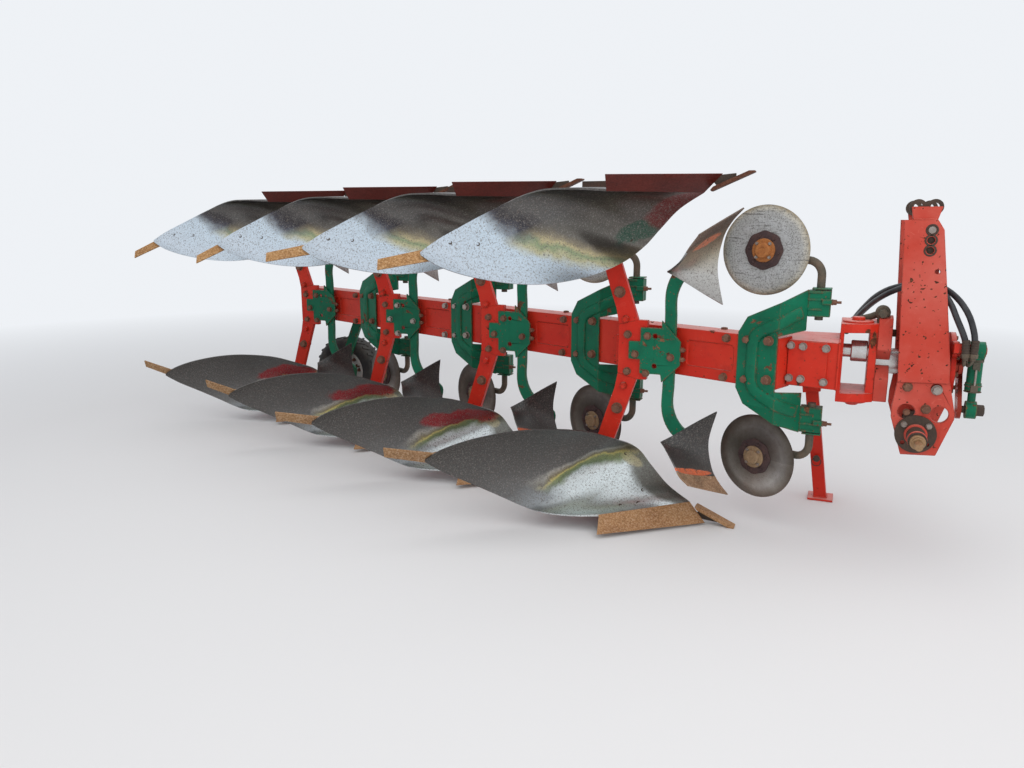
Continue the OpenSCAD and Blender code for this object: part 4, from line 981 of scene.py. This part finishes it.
# pressed rib of the coulter brackets, rounded as in the photo, from its upper end to the axis height
rib = {
    "path": [(0.226, -0.094, 0.211), (0.190, -0.134, 0.193), (0.152, -0.172, 0.173), (0.126, -0.168, 0.160),
             (0.100, -0.159, 0.147), (0.064, -0.145, 0.124), (0.046, -0.1378, 0.092),
             (0.043, -0.1364, 0.045)],
    "middle": [(0.043, -0.1364, 0)], "half": 0.027, "high": 0.013, "steps": 60, "round": 12, "sunk": 0.002,
    "bend": (0.135, 0.170), "endOut": Vector((0.748, -0.664, 0))}


def addPressedRib(bm, put):
    lower = [(x, y, -z) for x, y, z in rib["path"][::-1]]
    path = splineRun(rib["path"] + rib["middle"] + lower, rib["steps"])
    low, high = rib["bend"]
    rows = []
    for k, spot in enumerate(path):
        ahead = path[min(k + 1, len(path) - 1)] - path[max(k - 1, 0)]
        share = min(1, max(0, (spot.x - low) / (high - low)))
        out = beamOut.lerp(rib["endOut"], share).normalized()
        side = out.cross(ahead).normalized() * rib["half"]
        row = []
        for turn in range(rib["round"] + 1):
            across = math.cos(math.pi * turn / rib["round"])
            row.append(spot + side * across + out * rib["high"] * math.sqrt(1 - abs(across) ** 3))
        sunk = out * rib["sunk"]
        row += [spot - side - sunk, spot + side - sunk]
        rows.append([bm.verts.new(put(p + Vector((0, 0, axisHeight)))) for p in row])
    skin(bm, rows)


bm = bmesh.new()
for i in bodies:
    addPressedRib(bm, onUnit(i))
finishPiece("pressedRibs", bm, greenPaint, sharp=50)

# boxes on each coulter clamp, as corner and size: three ribs, the pinch screw's block, the clamp's end cap
clampBoxes = [((0.247, -0.071, height), (0.060, 0.072, 0.009)) for height in (0.497, 0.527, 0.568)]
clampBoxes += [((0.305, -0.081, 0.529), (0.040, 0.020, 0.022)),
               ((0.262, -0.068, 0.490), (0.078, 0.066, -0.006))]
# beads where the leg's carrier is welded to the beam
seams = {
    "heights": (0.8595, 0.7405), "ends": (-0.596, -0.448), "left": 0.012,
    "sides": (-0.5985, -0.4455), "sideHeights": (0.750, 0.850), "size": 0.0045}
green, beads = bmesh.new(), bmesh.new()
for i in bodies:
    for flip in (False, True):
        for corner, (long, wide, high) in clampBoxes:
            addBox(green, onUnit(i, flip)(corner), (long, wide, -high if flip else high))
    put = onUnit(i)
    for height in seams["heights"]:
        start, end = [put((x, seams["left"], height)) for x in seams["ends"]]
        addWeld(beads, start, end, seams["size"], i)
    for x in seams["sides"]:
        start, end = [put(onBeam(x, z)) for z in seams["sideHeights"]]
        addWeld(beads, start, end, seams["size"], i + 9)
finishPiece("clampRibs", green, greenPaint, bevel=0.002)
finishPiece("beamWelds", beads, redPaint, sharp=60)
print("clamp ribs and welds done")

# front box: bolted cover plate on its right face, and its screws
boxFace = {
    "start": Vector((0.1855, -0.0885, 0)), "end": Vector((0.385, -0.132, 0)), "cover": (0.004, 0.158),
    "coverHalf": 0.094, "thick": 0.008,
    "screws": [(0.198, 0.875), (0.247, 0.874), (0.338, 0.873), (0.198, 0.735), (0.246, 0.735),
               (0.337, 0.731)], "across": 0.026}
boxAlong = (boxFace["end"] - boxFace["start"]).normalized()
boxOut = Vector((boxAlong.y, -boxAlong.x, 0))
boxTurn = Matrix((boxAlong, (0, 0, 1), boxOut)).transposed().to_4x4()
a, b = boxFace["cover"]
half = boxFace["coverHalf"]
outline = [(a, -half), (b, -half), (b + 0.004, 0.01 - half), (b + 0.004, half - 0.01), (b, half), (a, half)]
spot = place(*boxFace["start"]) + Vector((0, 0, axisHeight)) + boxOut * (boxFace["thick"] / 2 - 0.0005)
addPlate("frontBoxCover", outline, [], boxFace["thick"], spot, boxTurn, redPaint)
bm = bmesh.new()
for x, z in boxFace["screws"]:
    along = (x - boxFace["start"].x) / boxAlong.x
    spot = boxFace["start"] + boxAlong * along + boxOut * (boxFace["thick"] - 0.001)
    addBolt(bm, place(spot.x, spot.y, z), boxOut, boxFace["across"], x * 40)
finishPiece("frontBoxScrews", bm, zincBolt, sharp=30)
bm = bmesh.new()
addWeld(bm, place(0.3865, -0.134, 0.705), place(0.3865, -0.134, 0.895), 0.005, 3)
for z in (0.897, 0.703):
    addWeld(bm, place(0.387, -0.130, z), place(0.387, 0.205, z), 0.005, int(z * 100))
finishPiece("frontBoxWelds", bm, redPaint, sharp=60)

# swing casting: pivot bosses over and under the shaft, with their pins and caps
bosses = [([(0.062, -0.001), (0.062, 0.006), (0.057, 0.009), (0.030, 0.009)], 40),
          ([(0.026, 0.008), (0.026, 0.020), (0.022, 0.023), (0.008, 0.023)], 24)]
bm = bmesh.new()
for side in (1, -1):
    for rings, count in bosses:
        addRings(bm, place(0.452, 0.060, axisHeight + side * 0.168), facing((0, 0, side)), rings, count)
finishPiece("swingBosses", bm, redPaint)

# adjusting screw and its shackle over the lugs, and the sleeve in the casting's window
shackle = {
    "at": (0.545, 0.090, 1.010), "gap": 0.034, "pin": 0.013, "pinEnds": (0.034, 0.146),
    "nuts": (0.048, 0.132), "nutAcross": 0.034,
    "screw": [(0.545, 0.090, 1.010), (0.500, 0.098, 0.990), (0.452, 0.104, 0.975)],
    "screwRadius": [0.016, 0.014, 0.014], "sleeve": (0.431, 0.060, 0.844)}


def besideShackle(y):
    return place(shackle["at"][0], y, shackle["at"][2])


bm = bmesh.new()
for side in (-1, 1):
    spot = besideShackle(shackle["at"][1] + side * shackle["gap"])
    addRings(bm, spot, facing((0, 1, 0)), collar(0.026, 0.028, 0.016, start=-0.008), 28)
    addBox(bm, spot + Vector((-0.020, -0.007, -0.070)), (0.040, 0.014, 0.070))
addTube(bm, [besideShackle(y) for y in shackle["pinEnds"]], shackle["pin"], 20)
addBolt(bm, besideShackle(shackle["nuts"][0]), (0, -1, 0), shackle["nutAcross"], 0.2)
addBolt(bm, besideShackle(shackle["nuts"][1]), (0, 1, 0), shackle["nutAcross"], 0.5, thread=0.012)
addTube(bm, [place(*p) for p in shackle["screw"]], shackle["screwRadius"], 16)
addRings(bm, besideShackle(0.070), facing((0, 1, 0)), collar(0.026, 0.030, 0.040, 0.004), 28)
sleeve = collar(0.042, 0.046, 0.066, 0.004)
addRings(bm, place(*shackle["sleeve"]), facing((1, 0, 0)), sleeve, 40, 1)
finishPiece("swingShackle", bm, [stemIron, bareRod], "frame", bevel=0.0015)
print("front box and swing casting done")

# headstock: outer skins of the tower, link holes, bolts and collars
tower = {
    "skin": [(0.5895, 1.393), (0.7055, 1.393), (0.7290, 1.356), (0.8015, 0.821), (0.8035, 0.770),
             (0.8050, 0.748), (0.6200, 0.742), (0.6190, 0.762)],
    "thick": 0.007, "faces": (-0.040, 0.280), "linkHoles": [(0.688, 1.276), (0.688, 1.316), (0.688, 1.356)],
    "linkRadius": 0.0162, "smallHole": (0.722, 1.193, 0.0120),
    "rustyBolts": [(0.658, 0.721, 0.030, 0.0), (0.733, 0.633, 0.030, 0.0), (0.664, 0.612, 0.022, 0.012)],
    "paleBolt": (0.766, 0.716), "paleAcross": 0.032,
    "collarBolts": [(0.658, 0.5646), (0.750, 0.5646)], "collarFace": 0.0142, "collarAcross": 0.019,
    "holeRing": [(0.0165, -0.020), (0.0165, 0.0095), (0.0215, 0.0095), (0.0235, 0.0070), (0.0235, 0.0)],
    "holeShadeFloor": [(0.0158, 0), (0.0158, 0.010), (0.012, 0.012)],
    "topPin": [(0.0155, 0), (0.0155, 0.030), (0.0135, 0.034), (0.004, 0.034)],
    "welds": [((0.617, 1.397), (0.705, 1.397)), ((0.6205, 0.7415), (0.805, 0.7475))]}
# stepped end of the lower link stub: bush, ring and the pin's grooves, then the rings round the stub
stub = {
    "x": 0.704, "z": 0.526, "tip": 0.140,
    "bushes": [([(0.030, -0.004), (0.030, 0.010), (0.0275, 0.013), (0.0235, 0.014)], 36),
               ([(0.0235, 0.010), (0.0235, 0.028), (0.0205, 0.031), (0.0140, 0.031)], 32),
               (collar(0.0138, 0.0152, 0.006, 0.001, 0.048), 28),
               (collar(0.0138, 0.0152, 0.006, 0.001, 0.070), 28)],
    "rings": [(0.014, [(0.044, -0.001), (0.044, 0.010), (0.040, 0.013), (0.036, 0.013)]),
              (0.104, collar(0.036, 0.0375, 0.018))]}
for side, y in enumerate(tower["faces"]):
    out = Vector((0, side * 2 - 1, 0))
    turn = facing(out)
    holes = [circle(x, z, tower["linkRadius"]) for x, z in tower["linkHoles"]]
    holes.append(circle(*tower["smallHole"]))
    spot = place(0, y, 0) + out * (tower["thick"] / 2 - 0.0004)
    addPlate("towerSkin%d" % side, tower["skin"], holes, tower["thick"], spot, upright, fadedGlaredRedPaint,
             "headstock", rounding=0.0025)
    rusty, pale, painted, dark = bmesh.new(), bmesh.new(), bmesh.new(), bmesh.new()
    for x, z, across, sunk in tower["rustyBolts"]:
        addBolt(rusty, place(x, y, z) - out * sunk, out, across, x * 30)
    addBolt(pale, place(tower["paleBolt"][0], y, tower["paleBolt"][1]), out, tower["paleAcross"], 0.4)
    for x, z in tower["collarBolts"]:
        addBolt(pale, place(x, y, z) + out * tower["collarFace"], out, tower["collarAcross"], x * 20)
    for k, (x, z) in enumerate(tower["linkHoles"]):
        spot = place(x, y, z)
        addRings(dark, spot, turn, tower["holeRing"], 32, closed=False)
        if k < 2:
            # a dark floor inside each open hole: painted shade for the hole's depth
            addRings(dark, spot - out * 0.016, turn, tower["holeShadeFloor"], 24)
        else:  # pin left in the top link hole
            addRings(pale, spot - out * 0.02, turn, tower["topPin"], 28)
    for ends in tower["welds"]:
        start, end = [place(x, y + out.y * 0.003, z) for x, z in ends]
        addWeld(painted, start, end, 0.004, side + 1)
    bushes, stubRings = bmesh.new(), bmesh.new()
    for rings, count in stub["bushes"]:
        addRings(bushes, place(stub["x"], y + out.y * stub["tip"], stub["z"]), turn, rings, count)
    for away, rings in stub["rings"]:
        addRings(stubRings, place(stub["x"], y + out.y * away, stub["z"]), turn, rings, 40)
    finishPiece("towerBolts%d" % side, rusty, boltRust, "headstock", sharp=30)
    finishPiece("linkHoleBushesAndShadeFloors%d" % side, dark, darkIron, "headstock")
    finishPiece("towerPaleBolts%d" % side, pale, zincBolt, "headstock", sharp=30)
    finishPiece("towerWelds%d" % side, painted, fadedGlaredRedPaint, "headstock", sharp=60)
    finishPiece("stubBushes%d" % side, bushes, pinBrass, "headstock")
    finishPiece("stubRings%d" % side, stubRings, fadedGlaredRedPaint, "headstock")
print("tower done")

# turnover gear: ring of screws in the flange, pivot retainer, pipes from the hoses to the pivot
gear = {
    "flange": (0.828, 0.120, 0.800), "screws": 10, "first": 12, "ring": 0.112, "across": 0.017,
    "pivot": (0.9248, 0.0053, 0.8804),
    "retainer": [(0.015, 0), (0.024, 0), (0.025, 0.001), (0.025, 0.0035), (0.015, 0.004)],
    "pipes": [[(0.848, -0.078, 0.851), (0.848, -0.077, 0.838), (0.848, -0.067, 0.829), (0.848, -0.052, 0.831),
               (0.848, -0.034, 0.846), (0.848, -0.014, 0.866)],
              [(0.876, -0.078, 0.851), (0.870, -0.076, 0.836), (0.862, -0.064, 0.827), (0.860, -0.048, 0.831),
               (0.860, -0.032, 0.846), (0.860, -0.014, 0.866)]], "pipeRadius": 0.0055}
forward = (1, 0, 0)
bm = bmesh.new()
for k in range(gear["screws"]):
    angle = math.radians(360 / gear["screws"] * k + gear["first"])
    away = Vector((0, math.cos(angle), math.sin(angle))) * gear["ring"]
    addBolt(bm, place(*gear["flange"]) + away, forward, gear["across"], k)
addRings(bm, place(*gear["pivot"]), facing(forward), gear["retainer"], 28)
finishPiece("flangeScrews", bm, boltRust, "headstock", sharp=30)
bm = bmesh.new()
for pipe in gear["pipes"]:
    points = [place(*p) for p in splineRun(pipe, 20)]
    addTube(bm, points, gear["pipeRadius"])
    out = points[-2] - points[-1]
    addRings(bm, points[-1] + out.normalized() * 0.004, facing(out), collar(0.010, 0.0115, 0.013, 0.001), 6)
finishPiece("pivotPipes", bm, stemIron, "headstock")

# cylinder: end caps, port blocks, the pipe along the barrel, and the eye's pin
barrel = {
    "top": (0.8975, 0.0053, 0.8804), "end": (0.8975, 0.0052, 0.6362), "wall": 0.0268,
    "caps": [(0.034, 0.046, 0.0292), (0.140, 0.146, 0.0325), (0.1655, 0.1700, 0.0325)],
    "ports": [((-0.013, -0.040, -0.072), (0.026, 0.016, 0.030)),
              ((-0.013, -0.043, -0.164), (0.026, 0.016, 0.028))],
    "pipe": [(0, -0.034, -0.072), (0, -0.040, -0.084), (0, -0.041, -0.104), (0, -0.041, -0.124),
             (0, -0.038, -0.140)], "pipeRadius": 0.0042,
    "eye": (0.8628, 0.0052, 0.6362), "pin": [(0.0146, 0), (0.0146, 0.066), (0.0132, 0.0685), (0.004, 0.0685)],
    "nut": 0.0552}
top = place(*barrel["top"])
down = Vector([b - a for a, b in zip(barrel["top"], barrel["end"])]).normalized()
turn = facing(down)
bm = bmesh.new()
for start, end, radius in barrel["caps"]:
    addRings(bm, top, turn, collar(barrel["wall"], radius, end - start, 0.001, start), 40)
for corner, size in barrel["ports"]:
    addBox(bm, top + Vector(corner), size)
finishPiece("barrelCaps", bm, stemIron, "barrel", bevel=0.001)
bm = bmesh.new()
addTube(bm, [top + Vector(p) for p in barrel["pipe"]], barrel["pipeRadius"], 10)
finishPiece("barrelPipe", bm, zincBolt, "barrel")
bm = bmesh.new()
eye = place(*barrel["eye"])
addRings(bm, eye, facing(forward), barrel["pin"], 28)
addBolt(bm, eye + Vector((barrel["nut"], 0, 0)), forward, 0.040, 0.3, washer=0.62)
finishPiece("eyePin", bm, darkIron, "rod", sharp=30)
print("turnover gear done")

# parking stand: locking pin with its ring, and foot welds
stand = {
    "lean": math.radians(8), "x": 0.350, "y": 0.530, "pinHeight": 0.222, "pinEnds": (0.070, -0.030),
    "pin": 0.009,
    "head": [(0.014, 0), (0.016, 0.002), (0.016, 0.010), (0.012, 0.012)], "loop": 0.022, "wire": 0.0022,
    "foot": (0.349, 0.560, 0.011), "half": 0.031}
spot = place(stand["x"] - math.tan(stand["lean"]) * stand["pinHeight"], stand["y"], stand["pinHeight"])
ends = [spot + Vector((0, y, 0)) for y in stand["pinEnds"]]
bm = bmesh.new()
addTube(bm, ends, stand["pin"], 14)
addRings(bm, ends[1], facing((0, -1, 0)), stand["head"], 20)
angles = [k * math.pi / 9 for k in range(19)]
r = stand["loop"]
loop = [spot + Vector((r * math.sin(angle), -0.022, -0.020 + r * math.cos(angle))) for angle in angles]
addTube(bm, loop, stand["wire"], 8)
finishPiece("standPin", bm, darkIron, "stand")
bm = bmesh.new()
corners = [Vector((x, y, 0)) * stand["half"] for x, y in ((-1, -1), (1, -1), (1, 1), (-1, 1))]
foot = place(*stand["foot"])
for a, b in zip(corners, corners[1:] + corners[:1]):
    addWeld(bm, foot + a, foot + b, 0.0035, 5)
finishPiece("footWelds", bm, redPaint, "stand", sharp=60)

# depth wheel: tyre with slanted lugs, and a bolted rim
rimPaint = wornPaint("rimPaint", {
    "paint": (0.50, 0.50, 0.48), "faded": (0.60, 0.60, 0.57), "fadeScale": 5.0,
    "flakeScale": 12.0, "flakeLimit": 0.62, "dotScale": 70, "dotLimit": 0.70, "edgeWidth": 0.004,
    "dust": 0.5, "dustAndGlareColour": (0.45, 0.42, 0.38), "grime": 0.7, "dirt": (0.16, 0.13, 0.10),
    "scuffs": 0.3, "scuffColour": (0.36, 0.34, 0.31), "gloss": 0.40,
    "rust": ((0.05, 0.025, 0.016), (0.16, 0.07, 0.035), (0.30, 0.15, 0.08))})
wheel = {
    "centre": place(-3.135, 1.490, 0.257), "lugs": 26, "lug": (0.074, 0.018, 0.0125), "lugFoot": 0.243,
    "slant": 0.45,
    "tyre": [(0.1584, -0.064), (0.166, -0.076), (0.182, -0.084), (0.203, -0.088), (0.222, -0.086),
             (0.238, -0.079), (0.247, -0.066), (0.2495, -0.040), (0.2500, 0.0)],
    "rim": [(0.0215, -0.060), (0.058, -0.060), (0.060, -0.058), (0.060, -0.022), (0.066, -0.019),
            (0.112, -0.011), (0.121, -0.014), (0.136, -0.058), (0.142, -0.064), (0.158, -0.064),
            (0.1580, 0.064), (0.142, 0.064), (0.136, 0.058), (0.124, 0.010), (0.112, 0.003), (0.060, 0.0),
            (0.054, 0.004), (0.050, 0.068), (0.048, 0.070), (0.0215, 0.070)],
    "nuts": 6, "nutRing": 0.088, "nutAcross": 0.022}


def onWheel(p):
    return wheel["centre"] + Vector((p[0], -p[2], p[1]))


bm = bmesh.new()
half = wheel["tyre"]
latheInto(bm, onWheel, half + [(r, -h) for r, h in half[-2::-1]] + [half[0]], 72)
for k in range(wheel["lugs"]):
    for side in (1, -1):
        angle = 2 * math.pi * (k + (0.5 if side > 0 else 0)) / wheel["lugs"]
        radial = Vector((math.cos(angle), 0, math.sin(angle)))
        around = Vector((-math.sin(angle), 0, math.cos(angle)))
        lengthways = (Vector((0, side, 0)) + around * wheel["slant"]).normalized()
        sideways = lengthways.cross(radial).normalized()
        turn = Matrix((lengthways, sideways, radial)).transposed()
        corner = wheel["centre"] + radial * wheel["lugFoot"] - sideways * wheel["lug"][1] / 2
        addBox(bm, corner, wheel["lug"], turn)
tyre = finishPiece("depthWheelTyre", bm, tyreRubber, "wheel", bevel=0.0015, sharp=45)
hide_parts("wheel_tyre")
bm = bmesh.new()
latheInto(bm, onWheel, wheel["rim"] + [wheel["rim"][0]], 64)
rim = finishPiece("depthWheelRim", bm, rimPaint, "wheel")
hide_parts("wheel_rim")
bm = bmesh.new()
for k, (x, z) in enumerate(circle(0, 0, wheel["nutRing"], wheel["nuts"])):
    addBolt(bm, onWheel((x, z, 0.0005)), (0, -1, 0), wheel["nutAcross"], k, thread=0.008)
    addBolt(bm, onWheel((x, z, -0.0165)), (0, 1, 0), wheel["nutAcross"], k)
finishPiece("depthWheelNuts", bm, boltRust, "wheel", sharp=30)
print("wheel done")

# yard stage: away from the plough the floor passes into the pale backdrop
stage = {
    "floor": (0.77, 0.77, 0.78), "rough": 0.85, "sky": (0.86, 0.885, 0.92), "daylight": (0.94, 0.96, 1.0),
    "dayStrength": 0.50, "fade": (3.2, 9.0), "size": 80, "sunk": 0.0005}
g = startMaterial("paleFloor")
g.shade(Base_Color=stage["floor"], Roughness=stage["rough"])
distance = g.add("VectorMath", {"operation": "LENGTH"})
g.feed(distance, {0: g.point})
far = g.step(distance.outputs["Value"], *stage["fade"])
backdrop = g.add("Emission", Color=stage["sky"], Strength=1.0)
fading = g.add("MixShader")
seen = g.seenBy("Camera", "Glossy")
g.feed(fading, {0: g.times(far, seen), 1: g.shader.outputs[0], 2: backdrop.outputs[0]})
g.feed(g.tree.nodes["Material Output"], {"Surface": fading.outputs[0]})
bpy.ops.mesh.primitive_plane_add(size=stage["size"], location=(0, 0, -stage["sunk"]))
floor = bpy.context.object
floor.name = "paleFloor"
floor.data.materials.append(g.material)

world = bpy.data.worlds.new("studioWorld")
bpy.context.scene.world = world
world.use_nodes = True
g = Graph(world.node_tree)
daylight = g.tree.nodes["Background"]
g.feed(daylight, {"Color": stage["daylight"], "Strength": stage["dayStrength"]})
sky = g.add("Background", Color=stage["sky"])
blend = g.add("MixShader")
g.feed(blend, {0: g.seenBy("Camera", "Glossy", "Transmission"), 1: daylight.outputs[0], 2: sky.outputs[0]})
g.feed(g.tree.nodes["World Output"], {"Surface": blend.outputs[0]})
lamps = [{"name": "overheadSoft", "spot": (1.0, -1.0, 6.5), "aim": (0, 0, 0.5), "size": 9.5, "watts": 300,
          "colour": (1, 0.99, 0.97)},
         {"name": "frontSoft", "spot": (4.5, -6.0, 3.5), "aim": (0, 0, 0.8), "size": 8.0, "watts": 230,
          "colour": (1, 0.98, 0.95)}]
for lamp in lamps:
    data = bpy.data.lights.new(lamp["name"], "AREA")
    data.size = lamp["size"]
    data.energy = lamp["watts"]
    data.color = lamp["colour"]
    light = addObject(lamp["name"], data)
    light.visible_glossy = False  # polished steel reflects the even surroundings, not the lamps
    light.location = lamp["spot"]
    light.rotation_euler = (Vector(lamp["aim"]) - Vector(lamp["spot"])).to_track_quat("-Z", "Y").to_euler()
bpy.context.scene.view_settings.view_transform = "Standard"
print("stage and lamps done")
